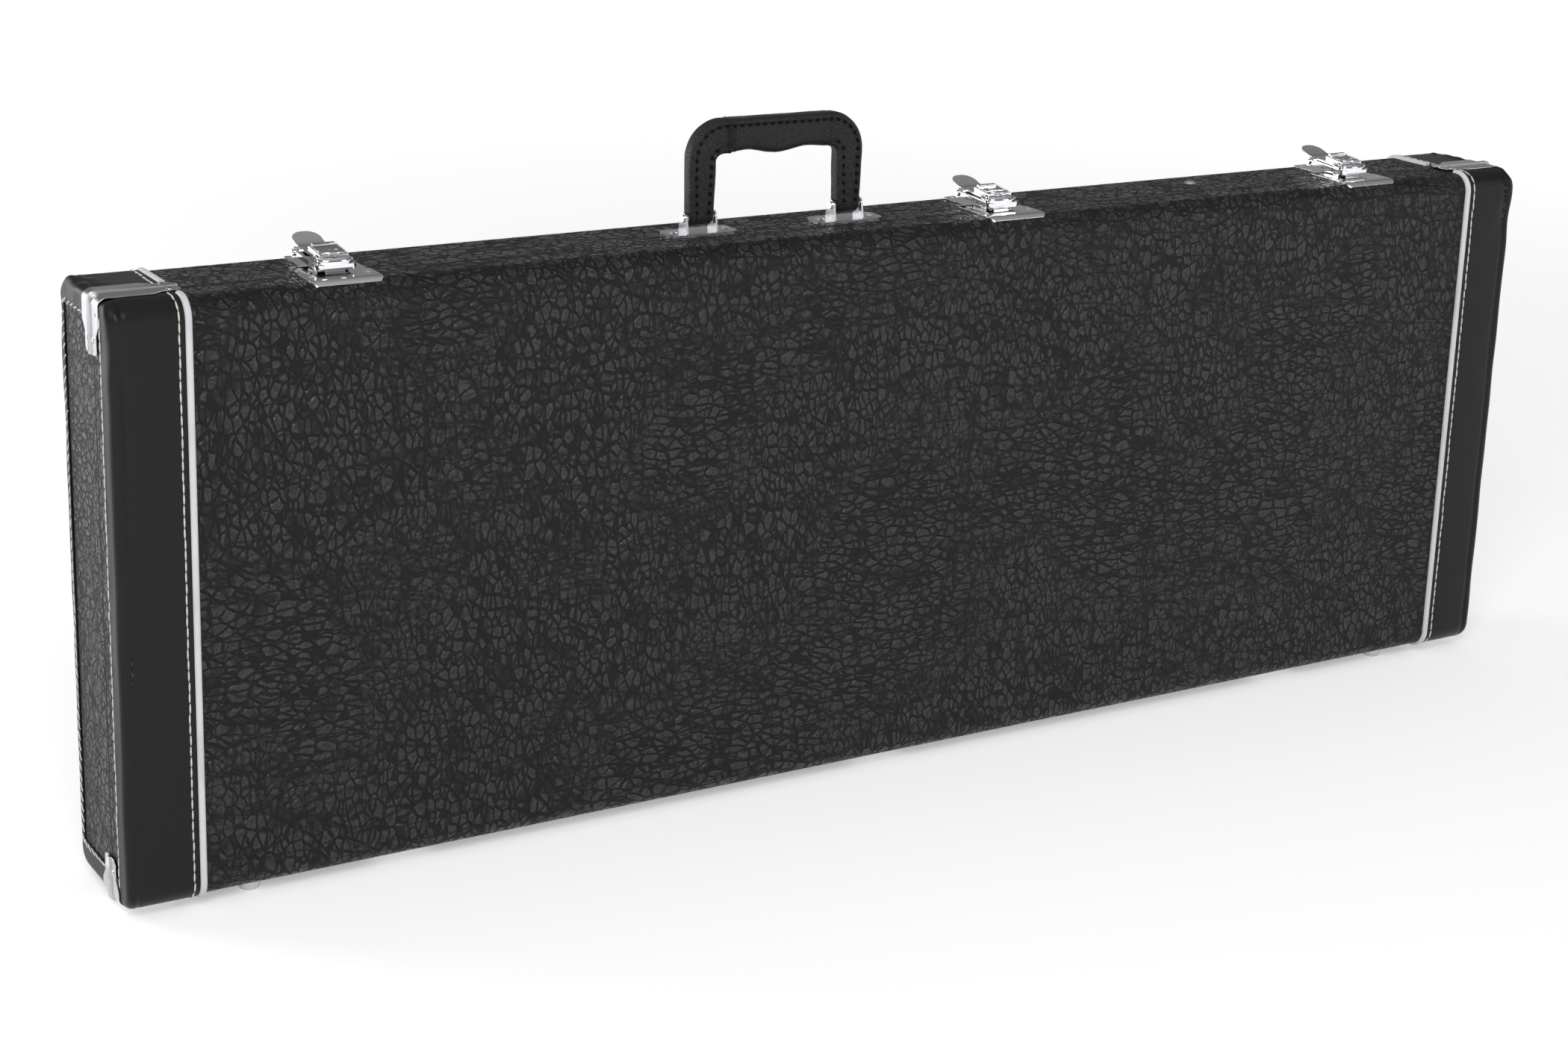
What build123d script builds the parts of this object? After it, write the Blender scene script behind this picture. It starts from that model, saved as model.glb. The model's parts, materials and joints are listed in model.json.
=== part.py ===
"""Electric guitar case: a hinged two-shell box with latches, handle and lined compartments.

Millimetres. X runs along the case, -Y is the lid side, +Z is up, the case stands on its feet.
The origin is at floor level under the centre of the box. Latches and inner walls keep their
distance from the ends when the length changes.
"""
from build123d import *
import math
import os

# Box
case_length = 1060.0
case_height = 366.0
case_depth = 90.0
lid_depth = 30.0
seam_gap = 0.3
long_edge_radius = 13.0
end_edge_radius = 5.0
cover_thickness = 1.0
vinyl_thickness = 0.8
plywood_thickness = 5.0
lining_thickness = 3.0

# End covers and piping
piping_end_distance = 46.0
piping_width = 4.4
piping_rise = 1.2
piping_round = 1.9
hem_front = 17.0
hem_back = 9.0
hem_top = 15.0
hem_bottom = 17.0

# Corner valances
valance_thickness = 0.8
valance_width = 14.0
valance_tip_width = 9.5
valance_tip_length = 12.0
valance_taper = 6.0
valance_tip_corner = 4.0
valance_top_length = 50.0
valance_drop_top = 34.0
valance_drop_bottom = 27.0
valance_lip_width = 1.6
valance_lip_rise = 1.1
valance_rivet_radius = 2.2
valance_rivet_rise = 0.9
valance_rivet_inset = 9.0

# Feet
foot_height = 6.0
foot_radius = 6.75
foot_flange_radius = 7.6
foot_flange_height = 2.0
foot_round = 1.6
foot_end_distance = 81.0
foot_edge_distance = 20.0

# Bottom hinges
hinge_spacing = 350.0
hinge_width = 40.0
hinge_leaf_depth = 16.0
hinge_leaf_thickness = 1.2
hinge_knuckle_radius = 2.4
hinge_pin_radius = 1.2
hinge_end_gap = 0.3
hinge_axis_drop = 3.7
hinge_relief = 1.8
hinge_pin_overhang = 0.8
hinge_pin_head_radius = 2.0

# Shared clearances, and how far cutting shapes pass what they cut
running_clearance = 0.05
side_clearance = 0.3
cutter_margin = 1.0
cutter_reach = 10.0
tolerance = 0.01

# Latches
left_latch_end_distance = 144.5
middle_latch_offset = 86.6
right_latch_end_distance = 134.8
locking_latch = 2
latch_plate_thickness = 1.4
strike_width = 45.0
strike_wrap_angle = 34.0
strike_corner_radius = 6.0
strike_lug_width = 12.0
strike_lug_length = 2.0
strike_lug_offset = 0.6
latch_base_width = 42.0
latch_base_wide_length = 20.0
latch_base_narrow_width = 26.0
latch_base_length = 48.0
latch_base_corner_radius = 3.0
lever_width = 18.0
lever_wall = 1.0
lever_pivot_back = 4.0
lever_pivot_height = 8.0
lever_sweep_radius = 6.0
lever_knee_angle = 27.0
lever_top_wall = 1.2
lever_box_front = -0.5
lever_box_back = 17.0
lever_front_height = 12.0
lever_rear_height = 14.0
lever_skirt_height = 2.2
lever_edge_round = 1.3
bail_pivot_back = 31.0
bail_pivot_height = 7.2
lever_boss_radius = 3.2
lever_bridge_thickness = 3.2
lever_bridge_dip = 0.8
tab_end = 48.4
tab_end_height = 15.4
tab_thickness = 1.8
tab_knee_length = 5.0
tab_knee_rise = 0.7
tab_corner_radius = 8.0
ear_thickness = 1.0
ear_radius = 3.0
lever_pin_radius = 1.0
bail_arm_gap = 0.4
bail_arm_width = 2.0
bail_front = -6.0
bail_bar_length = 2.6
bail_bar_bottom = 3.3
bail_bar_top = 6.4
bail_eye_radius = 3.3
bail_corner_radius = 3.5
bail_pin_radius = 1.2
bail_pin_head_radius = 2.2
bail_pin_head_length = 1.0
nose_width = 22.0
nose_back = -1.8
nose_length = 5.4
nose_height = 3.9
nose_round = 2.4
latch_rivet_radius = 2.3
latch_rivet_rise = 0.9
strike_rivet_x = 17.5
strike_rivet_back = -9.0
base_rivet_x = 17.0
base_rivet_back = 11.0
tail_rivet_x = 8.5
tail_rivet_back = 43.0

# Lock
barrel_back = 8.5
barrel_radius = 2.8
barrel_bottom = 4.0
barrel_proud = 0.4
keyhole_length = 3.4
keyhole_width = 0.9
keyhole_depth = 2.0
cam_reach = 6.2
cam_width = 3.0
cam_thickness = 1.0

# Handle
handle_x = -79.0
handle_y = 1.5
handle_width = 128.0
handle_thickness = 13.0
handle_top = 72.0
handle_grip_height = 24.0
handle_leg_width = 19.0
handle_outer_radius = 25.0
handle_inner_radius = 8.0
handle_edge_round = 4.0
finger_swell_width = 44.0
finger_swell_drop = 2.8
finger_swell_blend = 15.0
handle_pivot_height = 10.0
handle_leg_below_pivot = 4.5
handle_foot_round = 5.0
strap_thickness = 3.0
strap_width = 8.0
strap_eye_radius = 3.2
handle_pin_radius = 1.6
handle_pin_head_radius = 2.6
handle_pin_head_length = 1.1
bracket_length = 49.0
bracket_width = 20.0
bracket_thickness = 1.4
bracket_corner_radius = 5.0
bracket_ear_gap = 0.4
bracket_ear_thickness = 1.2
bracket_ear_foot = 12.0
bracket_ear_radius = 4.0
bracket_rivet_x = 19.0
bracket_rivet_radius = 3.2
bracket_rivet_rise = 1.2

# Inner compartment
inner_cradle_end_distance = 412.0
outer_cradle_end_distance = 198.0
cradle_thickness = 10.0
cradle_front_inset = 2.0
neck_notch_width = 58.0
neck_notch_depth = 22.0
neck_notch_corner = 6.0
neck_centre_height = 183.0
bin_wall = 4.0
bin_floor = 2.0
bin_bottom_height = 229.0
bin_lid_thickness = 4.0
bin_lid_clearance = 0.5
ribbon_width = 12.0
ribbon_length = 18.0
ribbon_thickness = 0.8
ribbon_edge_distance = 4.0
bin_rivet_offset = 46.0
bin_rivet_y = 13.0
bin_rivet_radius = 4.25
bin_rivet_rise = 1.6

# Places that follow from the sizes above
half_length = case_length / 2
y_front = -case_depth / 2
y_back = case_depth / 2
y_seam = y_front + lid_depth
z_bottom = foot_height
z_top = foot_height + case_height
vinyl_top = z_top - cover_thickness
vinyl_bottom = z_bottom + cover_thickness
vinyl_inset = cover_thickness
plywood_inset = vinyl_inset + vinyl_thickness
lining_inset = plywood_inset + plywood_thickness
cavity_inset = lining_inset + lining_thickness
piping_x = half_length - piping_end_distance
valance_inner_x = half_length - valance_top_length
foot_x = half_length - foot_end_distance
latch_centres = (
    left_latch_end_distance - half_length, middle_latch_offset,
    half_length - right_latch_end_distance,
)
cradle_centres = (half_length - inner_cradle_end_distance, half_length - outer_cradle_end_distance)
LID = -1
BASE = 1


def span(x0, x1, y0, y1, z0, z1):
    """Box between two corners."""
    middle = Pos((x0 + x1) / 2, (y0 + y1) / 2, (z0 + z1) / 2)
    return middle * Box(abs(x1 - x0), abs(y1 - y0), abs(z1 - z0))


def side_prism(points, x0, x1):
    """Solid with an outline in the Y-Z plane, from x0 to x1."""
    outline = make_face(Plane.YZ * Polyline(*points, close=True))
    return Pos(min(x0, x1), 0, 0) * extrude(outline, amount=abs(x1 - x0), dir=(1, 0, 0))


def cross_pin(radius, half_width, y, z):
    """Cylinder along X, centred on X = 0."""
    return Pos(0, y, z) * Rot(0, 90, 0) * Cylinder(radius, 2 * half_width)


def dome(radius, rise):
    """Rivet head standing on Z = 0."""
    ball = (radius ** 2 + rise ** 2) / (2 * rise)
    return Pos(0, 0, rise - ball) * Sphere(ball) & Pos(0, 0, rise) * Box(3 * radius, 3 * radius, 2 * rise)


def group(pieces):
    """Several separate solids kept in one node."""
    return Compound(children=list(pieces))


def near_face(side):
    """Y of a shell's rim at the parting line."""
    return y_seam + side * seam_gap / 2


def shell_face(side, inset):
    """Cross-section of a shell in the Y-Z plane, with its two long edges rounded."""
    y_far = side * (case_depth / 2 - inset)
    y_near = near_face(side)
    z0 = z_bottom + inset
    z1 = z_top - inset
    place = Pos((y_far + y_near) / 2, (z0 + z1) / 2)
    face = Plane.YZ * place * Rectangle(abs(y_far - y_near), z1 - z0)
    corners = face.vertices().group_by(Axis.Y)[0 if side == LID else -1]
    return fillet(corners, long_edge_radius - inset)


def end_edges(block, side, x_end):
    """Edges round the end faces, without those on the rim."""
    rim = near_face(side)
    return block.edges().filter_by(
        lambda e: abs(abs(e.center().X) - x_end) < tolerance and abs(e.center().Y - rim) > tolerance
    )


def shell_block(side, inset):
    """Solid block of one shell, drawn in by an inset on every outer face."""
    half = half_length - inset
    block = extrude(shell_face(side, inset), amount=half, both=True)
    if end_edge_radius > inset:
        block = fillet(end_edges(block, side, half), end_edge_radius - inset)
    return block


def make_layer(side, outer_inset, inner_inset):
    """Open tray between two insets."""
    return shell_block(side, outer_inset) - shell_block(side, inner_inset)


def make_end_cover(side, end):
    """Leatherette cap over one end, with an open panel on the end face."""
    skin = make_layer(side, 0, vinyl_inset)
    inner_x = piping_x + piping_width / 2
    cap = skin & span(
        end * inner_x, end * (half_length + cutter_margin),
        y_front - cutter_margin, y_back + cutter_margin, 0, z_top + cutter_margin,
    )
    hem = hem_front if side == LID else hem_back
    panel_far = side * (case_depth / 2 - hem)
    panel = span(
        end * (half_length - end_edge_radius), end * (half_length + cutter_margin),
        near_face(side) - side * cutter_margin, panel_far, z_bottom + hem_bottom, z_top - hem_top,
    )
    return cap - panel


def make_piping(side, end):
    """Rounded bead round one shell, stopping at the corner valances."""
    bead = extrude(shell_face(side, -piping_rise), amount=piping_width / 2, both=True)
    bead = fillet(end_edges(bead, side, piping_width / 2), piping_round)
    core = extrude(shell_face(side, vinyl_inset), amount=piping_width, both=True)
    stop = valance_width + side_clearance
    seam_zone = span(
        -piping_width, piping_width, y_seam - stop, y_seam + stop, 0, z_top + cutter_reach
    )
    return Pos(end * piping_x, 0, 0) * (bead - core - seam_zone)


def corner_band(thickness, y0, y1):
    """Band that follows the top, ends and bottom of the box."""
    height = z_top - z_bottom
    place = Pos(0, (z_top + z_bottom) / 2)
    outer = RectangleRounded(
        case_length + 2 * thickness, height + 2 * thickness, end_edge_radius + thickness
    )
    inner = RectangleRounded(case_length, height, end_edge_radius)
    band = extrude(Plane.XZ * place * (outer - inner), amount=-(y1 - y0))
    return Pos(0, y0, 0) * band


def tip_outline():
    """Outline cut away at a valance tip: distance along the arm, distance from the seam."""
    corner = valance_tip_corner
    rounded = [
        (corner * (1 - math.cos(angle)), valance_tip_width - corner * (1 - math.sin(angle)))
        for angle in (math.radians(step * 15) for step in range(7))
    ]
    far = 2 * valance_width - valance_tip_width
    return [
        (-cutter_margin, valance_tip_width - corner), *rounded,
        (valance_tip_length, valance_tip_width),
        (valance_tip_length + 2 * valance_taper, far), (-cutter_margin, far),
    ]


def make_valance(side, end, level):
    """Pressed angle strip over one corner of the rim."""
    y0 = near_face(side)
    y1 = y_seam + side * valance_width
    lip_end = y0 + side * valance_lip_width
    strip = corner_band(valance_thickness, min(y0, y1), max(y0, y1))
    lip = corner_band(
        valance_thickness + valance_lip_rise, min(y0, lip_end), max(y0, lip_end)
    )
    x_out = half_length + cutter_reach
    if level > 0:
        z_tip = z_top - valance_drop_top
        z_out = z_top + cutter_reach
    else:
        z_tip = z_bottom + valance_drop_bottom
        z_out = 0
    corner = span(end * valance_inner_x, end * x_out, y_front, y_back, z_tip, z_out)
    top_points = [
        (end * (valance_inner_x + along), y_seam + side * away) for along, away in tip_outline()
    ]
    z_flat = z_top if level > 0 else z_bottom
    top_cut = Pos(0, 0, z_flat - cutter_margin) * extrude(
        make_face(Polyline(*top_points, close=True)), amount=cutter_reach, dir=(0, 0, 1)
    )
    if level < 0:
        top_cut = Pos(0, 0, 2 * cutter_margin - cutter_reach) * top_cut
    end_points = [
        (y_seam + side * away, z_tip + level * along) for along, away in tip_outline()
    ]
    end_cut = side_prism(end_points, end * (half_length - cutter_margin), end * x_out)
    return (strip + lip) & corner - top_cut - end_cut


def make_valance_rivets(side):
    """Domed rivets on the end faces of the four valances of one shell."""
    rivets = []
    y = y_seam + side * (valance_tip_width + valance_lip_width) / 2
    heights = (
        z_top - valance_drop_top + valance_rivet_inset,
        z_bottom + valance_drop_bottom - valance_rivet_inset,
    )
    for end in (-1, 1):
        for z in heights:
            head = dome(valance_rivet_radius, valance_rivet_rise)
            x = end * (half_length + valance_thickness)
            rivets.append(Pos(x, y, z) * Rot(0, end * 90, 0) * head)
    return group(rivets)


def make_feet(side):
    """Two glides under one shell."""
    height = foot_height + cover_thickness
    stem = Pos(0, 0, height / 2) * Cylinder(foot_radius, height)
    stem = fillet(stem.edges().group_by(Axis.Z)[0], foot_round)
    flange = Pos(0, 0, height - foot_flange_height / 2) * Cylinder(
        foot_flange_radius, foot_flange_height
    )
    y = side * (case_depth / 2 - foot_edge_distance)
    foot = stem + flange
    return group(Pos(end * foot_x, y, 0) * foot for end in (-1, 1))


hinge_axis_z = vinyl_bottom - hinge_axis_drop
hinge_knuckle_length = (hinge_width - 2 * hinge_end_gap) / 4
hinge_places = (-hinge_spacing, 0.0, hinge_spacing)


def hinge_stretches(side):
    """Knuckle stretches along X: the lid has the middle one, the base the outer two."""
    middle = hinge_knuckle_length
    if side == LID:
        return [(-middle, middle)]
    return [(-hinge_width / 2, -middle - hinge_end_gap), (middle + hinge_end_gap, hinge_width / 2)]


def make_hinge_leaf(side):
    """One leaf with its knuckles, under the bottom of one shell."""
    y0 = y_seam + side * hinge_relief
    y1 = y_seam + side * hinge_leaf_depth
    leaf = span(
        -hinge_width / 2, hinge_width / 2, y0, y1, vinyl_bottom - hinge_leaf_thickness, vinyl_bottom
    )
    for x0, x1 in hinge_stretches(side):
        place = Pos((x0 + x1) / 2, y_seam, hinge_axis_z) * Rot(0, 90, 0)
        web_end = y_seam + side * (hinge_relief + hinge_knuckle_radius / 2)
        leaf += place * Cylinder(hinge_knuckle_radius, x1 - x0)
        leaf += span(x0, x1, y_seam, web_end, hinge_axis_z, vinyl_bottom)
    hole = cross_pin(hinge_pin_radius + running_clearance, hinge_width, y_seam, hinge_axis_z)
    return leaf - hole


def make_hinge_pin():
    """Pin with a head at both ends."""
    half = hinge_width / 2
    pin = cross_pin(hinge_pin_radius, half + hinge_pin_overhang, y_seam, hinge_axis_z)
    for end in (-1, 1):
        middle = end * (half + running_clearance + hinge_pin_overhang / 2)
        head = Rot(0, 90, 0) * Cylinder(hinge_pin_head_radius, hinge_pin_overhang)
        pin += Pos(middle, y_seam, hinge_axis_z) * head
    return pin


# Latch sizes that follow from the ones above, measured from the seam and the top of the vinyl
ear_inner = lever_width / 2 + side_clearance
ear_outer = ear_inner + ear_thickness
arm_inner = ear_outer + bail_arm_gap
arm_outer = arm_inner + bail_arm_width
lug_top = bail_bar_bottom - side_clearance


def make_strike_plate():
    """Plate on the lid that wraps over its front edge, with a low catch lug."""
    arc_y = long_edge_radius - lid_depth
    arc_z = cover_thickness - long_edge_radius
    inner = long_edge_radius - cover_thickness
    outer = inner + latch_plate_thickness
    back = -seam_gap / 2 - arc_y

    def on_wrap(radius, share):
        angle = math.radians(strike_wrap_angle * share)
        return (-radius * math.sin(angle), radius * math.cos(angle))

    with BuildLine(Plane.YZ) as profile:
        Polyline((0, inner), (back, inner), (back, outer), (0, outer))
        ThreePointArc((0, outer), on_wrap(outer, 0.5), on_wrap(outer, 1))
        Line(on_wrap(outer, 1), on_wrap(inner, 1))
        ThreePointArc(on_wrap(inner, 1), on_wrap(inner, 0.5), (0, inner))
    section = make_face(profile.line)
    plate = Pos(0, arc_y, arc_z) * extrude(section, amount=strike_width / 2, both=True)
    front = arc_y + on_wrap(outer, 1)[0] - cutter_margin
    length = -seam_gap / 2 - front
    outline = Pos(0, front + length / 2) * Rectangle(strike_width, length)
    outline = fillet(outline.vertices().group_by(Axis.Y)[0], strike_corner_radius + cutter_margin)
    plate &= Pos(0, 0, -outer) * extrude(outline, amount=2 * outer)
    lug_back = -strike_lug_offset
    plate += span(
        -strike_lug_width / 2, strike_lug_width / 2,
        lug_back - strike_lug_length, lug_back, latch_plate_thickness / 2, lug_top,
    )
    return plate


def make_latch_base():
    """Plate on the base shell with two ears that carry the lever."""
    start = seam_gap / 2
    wide_middle = (start + latch_base_wide_length) / 2
    wide = Pos(0, wide_middle) * Rectangle(latch_base_width, latch_base_wide_length - start)
    narrow_middle = (start + latch_base_length) / 2
    narrow = Pos(0, narrow_middle) * Rectangle(latch_base_narrow_width, latch_base_length - start)
    outline = wide + narrow
    corners = outline.vertices().filter_by(lambda v: v.Y > start + tolerance)
    outline = fillet(corners, latch_base_corner_radius)
    plate = extrude(outline, amount=latch_plate_thickness)
    for end in (-1, 1):
        post = span(
            end * ear_inner, end * ear_outer, lever_pivot_back - ear_radius,
            lever_pivot_back + ear_radius, latch_plate_thickness / 2, lever_pivot_height,
        )
        eye = Pos(end * (ear_inner + ear_outer) / 2, lever_pivot_back, lever_pivot_height)
        plate += post + eye * Rot(0, 90, 0) * Cylinder(ear_radius, ear_thickness)
    hole_radius = lever_pin_radius + running_clearance
    return plate - cross_pin(
        hole_radius, ear_outer + cutter_margin, lever_pivot_back, lever_pivot_height
    )


def make_lever():
    """Hollow lever box, bridge, bail boss and thumb tab."""
    half = lever_width / 2
    skirt_front = lever_pivot_height - math.sqrt(
        lever_sweep_radius ** 2 - (lever_pivot_back - lever_box_front) ** 2
    )
    knee_angle = math.radians(lever_knee_angle)
    knee_y = lever_pivot_back - lever_sweep_radius * math.sin(knee_angle)
    knee_z = lever_pivot_height - lever_sweep_radius * math.cos(knee_angle)
    shell = side_prism(
        [
            (lever_box_front, skirt_front), (lever_box_front, lever_front_height),
            (lever_box_back, lever_rear_height), (lever_box_back, lever_skirt_height),
            (lever_pivot_back, lever_skirt_height), (knee_y, knee_z),
        ],
        -half, half,
    )
    top = shell.faces().sort_by(Axis.Z)[-1]
    shell = fillet(top.edges(), lever_edge_round)
    slope = (lever_rear_height - lever_front_height) / (lever_box_back - lever_box_front)
    hollow_front = lever_box_front + lever_wall
    hollow_back = lever_box_back - lever_wall
    ceiling = lever_front_height - lever_top_wall
    shell -= side_prism(
        [
            (hollow_front, 0), (hollow_front, ceiling),
            (hollow_back, ceiling + slope * (hollow_back - hollow_front)), (hollow_back, 0),
        ],
        -half + lever_wall, half - lever_wall,
    )
    boss_top = bail_pivot_height + lever_boss_radius
    dipped_top = boss_top - lever_bridge_dip
    bridge = side_prism(
        [
            (hollow_back, dipped_top - lever_bridge_thickness), (hollow_back, dipped_top),
            (bail_pivot_back, boss_top), (bail_pivot_back, boss_top - lever_bridge_thickness),
        ],
        -half, half,
    )
    knee = bail_pivot_back + tab_knee_length
    knee_top = boss_top + tab_knee_rise
    tab = side_prism(
        [
            (bail_pivot_back, boss_top - tab_thickness), (bail_pivot_back, boss_top),
            (knee, knee_top), (tab_end, tab_end_height),
            (tab_end, tab_end_height - tab_thickness), (knee, knee_top - tab_thickness),
        ],
        -half, half,
    )
    outline = Pos(0, (lever_box_front + tab_end) / 2) * Rectangle(
        lever_width, tab_end - lever_box_front
    )
    outline = fillet(outline.vertices().group_by(Axis.Y)[-1], tab_corner_radius)
    tab &= extrude(outline, amount=tab_end)
    boss_half = arm_inner - side_clearance
    lever = shell + bridge + tab
    lever += cross_pin(lever_boss_radius, boss_half, bail_pivot_back, bail_pivot_height)
    pivot_hole = cross_pin(
        lever_pin_radius + running_clearance, half + cutter_margin,
        lever_pivot_back, lever_pivot_height,
    )
    bail_hole = cross_pin(
        bail_pin_radius + running_clearance, boss_half + cutter_margin,
        bail_pivot_back, bail_pivot_height,
    )
    return lever - pivot_hole - bail_hole


def make_bail():
    """Link with two arms, a front bar and a domed nose."""
    bail = span(
        -arm_outer, arm_outer, bail_front, bail_front + bail_bar_length,
        bail_bar_bottom, bail_bar_top,
    )
    arm = [
        (bail_pivot_back, bail_pivot_height - bail_eye_radius / 2),
        (bail_pivot_back, bail_pivot_height + bail_eye_radius / 2),
        (bail_front, bail_bar_top), (bail_front, bail_bar_bottom),
    ]
    for end in (-1, 1):
        middle = end * (arm_inner + arm_outer) / 2
        bail += side_prism(arm, middle - bail_arm_width / 2, middle + bail_arm_width / 2)
        eye = Pos(middle, bail_pivot_back, bail_pivot_height) * Rot(0, 90, 0)
        bail += eye * Cylinder(bail_eye_radius, bail_arm_width)
    reach = bail_pivot_back + bail_eye_radius
    outline = Pos(0, (bail_front + reach) / 2) * Rectangle(2 * arm_outer, reach - bail_front)
    outline = fillet(outline.vertices().group_by(Axis.Y)[0], bail_corner_radius)
    bail &= extrude(outline, amount=2 * bail_pivot_height)
    plan = Pos(0, nose_back) * Ellipse(nose_width / 2, nose_length)
    plan &= Pos(0, nose_back - nose_length) * Rectangle(2 * nose_width, 2 * nose_length)
    nose = Pos(0, 0, bail_bar_top) * extrude(plan, amount=nose_height)
    nose = fillet(nose.edges().group_by(Axis.Z)[-1], nose_round)
    hole = cross_pin(
        bail_pin_radius + running_clearance, arm_outer + cutter_margin,
        bail_pivot_back, bail_pivot_height,
    )
    return bail + nose - hole


def make_bail_pin():
    """Headed pin through the lever boss and both bail eyes."""
    head_inner = arm_outer + side_clearance
    pin = cross_pin(bail_pin_radius, head_inner, bail_pivot_back, bail_pivot_height)
    for end in (-1, 1):
        middle = end * (head_inner + bail_pin_head_length / 2)
        head = Rot(0, 90, 0) * Cylinder(bail_pin_head_radius, bail_pin_head_length)
        pin += Pos(middle, bail_pivot_back, bail_pivot_height) * head
    return pin


def barrel_top():
    """Height of the lock barrel's face, just above the sloping lever box."""
    slope = (lever_rear_height - lever_front_height) / (lever_box_back - lever_box_front)
    return lever_front_height + slope * (barrel_back - lever_box_front) + barrel_proud


def make_lock_barrel():
    """Key barrel with its slot and the cam below."""
    top = barrel_top()
    height = top - barrel_bottom
    barrel = Pos(0, barrel_back, barrel_bottom + height / 2) * Cylinder(barrel_radius, height)
    slot = Pos(0, barrel_back, top) * Box(keyhole_length, keyhole_width, 2 * keyhole_depth)
    cam = span(
        0, cam_reach, barrel_back - cam_width / 2, barrel_back + cam_width / 2,
        barrel_bottom, barrel_bottom + cam_thickness,
    )
    return barrel - slot + cam


def make_latch_rivets():
    """Rivets that hold one latch base."""
    places = [
        (end * x, y)
        for end in (-1, 1)
        for x, y in ((base_rivet_x, base_rivet_back), (tail_rivet_x, tail_rivet_back))
    ]
    head = dome(latch_rivet_radius, latch_rivet_rise)
    return [Pos(x, y, latch_plate_thickness) * head for x, y in places]


def make_strike_rivets():
    """Rivets that hold one strike plate."""
    head = dome(latch_rivet_radius, latch_rivet_rise)
    return [
        Pos(end * strike_rivet_x, strike_rivet_back, latch_plate_thickness) * head
        for end in (-1, 1)
    ]


leg_offset = (handle_width - handle_leg_width) / 2
leg_bottom = handle_pivot_height - handle_leg_below_pivot


def arch(width, top, radius, bottom):
    """Flat outline with two round upper corners, from bottom to top."""
    outline = Pos(0, (top + bottom) / 2) * Rectangle(width, top - bottom)
    return fillet(outline.vertices().group_by(Axis.Y)[-1], radius)


def make_handle_core():
    """Steel strap bent into the arch, with an eye at each foot."""
    middle = handle_top - handle_grip_height / 2
    bend = handle_outer_radius - handle_leg_width / 2
    outer = arch(
        2 * leg_offset + strap_thickness, middle + strap_thickness / 2,
        bend + strap_thickness / 2, handle_pivot_height,
    )
    inner = arch(
        2 * leg_offset - strap_thickness, middle - strap_thickness / 2,
        bend - strap_thickness / 2, handle_pivot_height - cutter_margin,
    )
    core = extrude(Plane.XZ * (outer - inner), amount=strap_width / 2, both=True)
    length = handle_leg_width - 2 * side_clearance
    for end in (-1, 1):
        eye = Pos(end * leg_offset, 0, handle_pivot_height) * Rot(0, 90, 0)
        core += eye * Cylinder(strap_eye_radius, length)
        core -= eye * Cylinder(handle_pin_radius + running_clearance, length + 2 * cutter_margin)
    return core


def make_handle_cover(core):
    """Leather body of the handle round its strap."""
    outline = arch(handle_width, handle_top, handle_outer_radius, leg_bottom)
    opening_top = handle_top - handle_grip_height + finger_swell_drop
    opening_width = handle_width - 2 * handle_leg_width
    opening = arch(opening_width, opening_top, handle_inner_radius, leg_bottom - cutter_margin)
    half_swell = finger_swell_width / 2
    swell_radius = (half_swell ** 2 + finger_swell_drop ** 2) / (2 * finger_swell_drop)
    opening -= Pos(0, opening_top + swell_radius - finger_swell_drop) * Circle(swell_radius)
    swell_ends = opening.vertices().filter_by(lambda v: abs(abs(v.X) - half_swell) < tolerance)
    opening = fillet(swell_ends, finger_swell_blend)
    outline -= opening
    body = extrude(Plane.XZ * outline, amount=handle_thickness / 2, both=True)
    rims = body.edges().filter_by(
        lambda e: abs(abs(e.center().Y) - handle_thickness / 2) < tolerance
        and e.center().Z > leg_bottom + tolerance
    )
    body = fillet(rims, handle_edge_round)
    for end in (-1, 1):
        ends = body & span(
            end * leg_offset - handle_leg_width, end * leg_offset + handle_leg_width,
            -handle_thickness, handle_thickness, leg_bottom - cutter_margin, handle_pivot_height,
        )
        body -= ends
        tongue = Pos(0, leg_bottom + handle_foot_round) * RectangleRounded(
            handle_thickness, 2 * handle_foot_round, handle_foot_round - tolerance
        )
        rounded = extrude(Plane.YZ * tongue, amount=handle_width, both=True)
        body += ends & rounded
        eye = Pos(end * leg_offset, 0, handle_pivot_height) * Rot(0, 90, 0)
        body -= eye * Cylinder(
            handle_pin_radius + running_clearance, handle_leg_width + 2 * cutter_margin
        )
    return body - core


def make_bracket():
    """Plate with two ears for one handle leg."""
    outline = RectangleRounded(bracket_length, bracket_width, bracket_corner_radius)
    bracket = extrude(outline, amount=bracket_thickness)
    inner = handle_leg_width / 2 + bracket_ear_gap
    foot = bracket_ear_foot / 2
    ear = [
        (-foot, bracket_thickness / 2), (foot, bracket_thickness / 2),
        (bracket_ear_radius, handle_pivot_height), (-bracket_ear_radius, handle_pivot_height),
    ]
    for end in (-1, 1):
        middle = end * (inner + bracket_ear_thickness / 2)
        start = middle - bracket_ear_thickness / 2
        bracket += side_prism(ear, start, start + bracket_ear_thickness)
        eye = Pos(middle, 0, handle_pivot_height) * Rot(0, 90, 0)
        bracket += eye * Cylinder(bracket_ear_radius, bracket_ear_thickness)
    return bracket - cross_pin(
        handle_pin_radius + running_clearance, bracket_length, 0, handle_pivot_height
    )


def make_handle_pin():
    """Headed pin through both ears and the leg."""
    inner = handle_leg_width / 2 + bracket_ear_gap + bracket_ear_thickness
    pin = cross_pin(handle_pin_radius, inner, 0, handle_pivot_height)
    for end in (-1, 1):
        middle = end * (inner + handle_pin_head_length / 2)
        head = Rot(0, 90, 0) * Cylinder(handle_pin_head_radius, handle_pin_head_length)
        pin += Pos(middle, 0, handle_pivot_height) * head
    return pin


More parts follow.
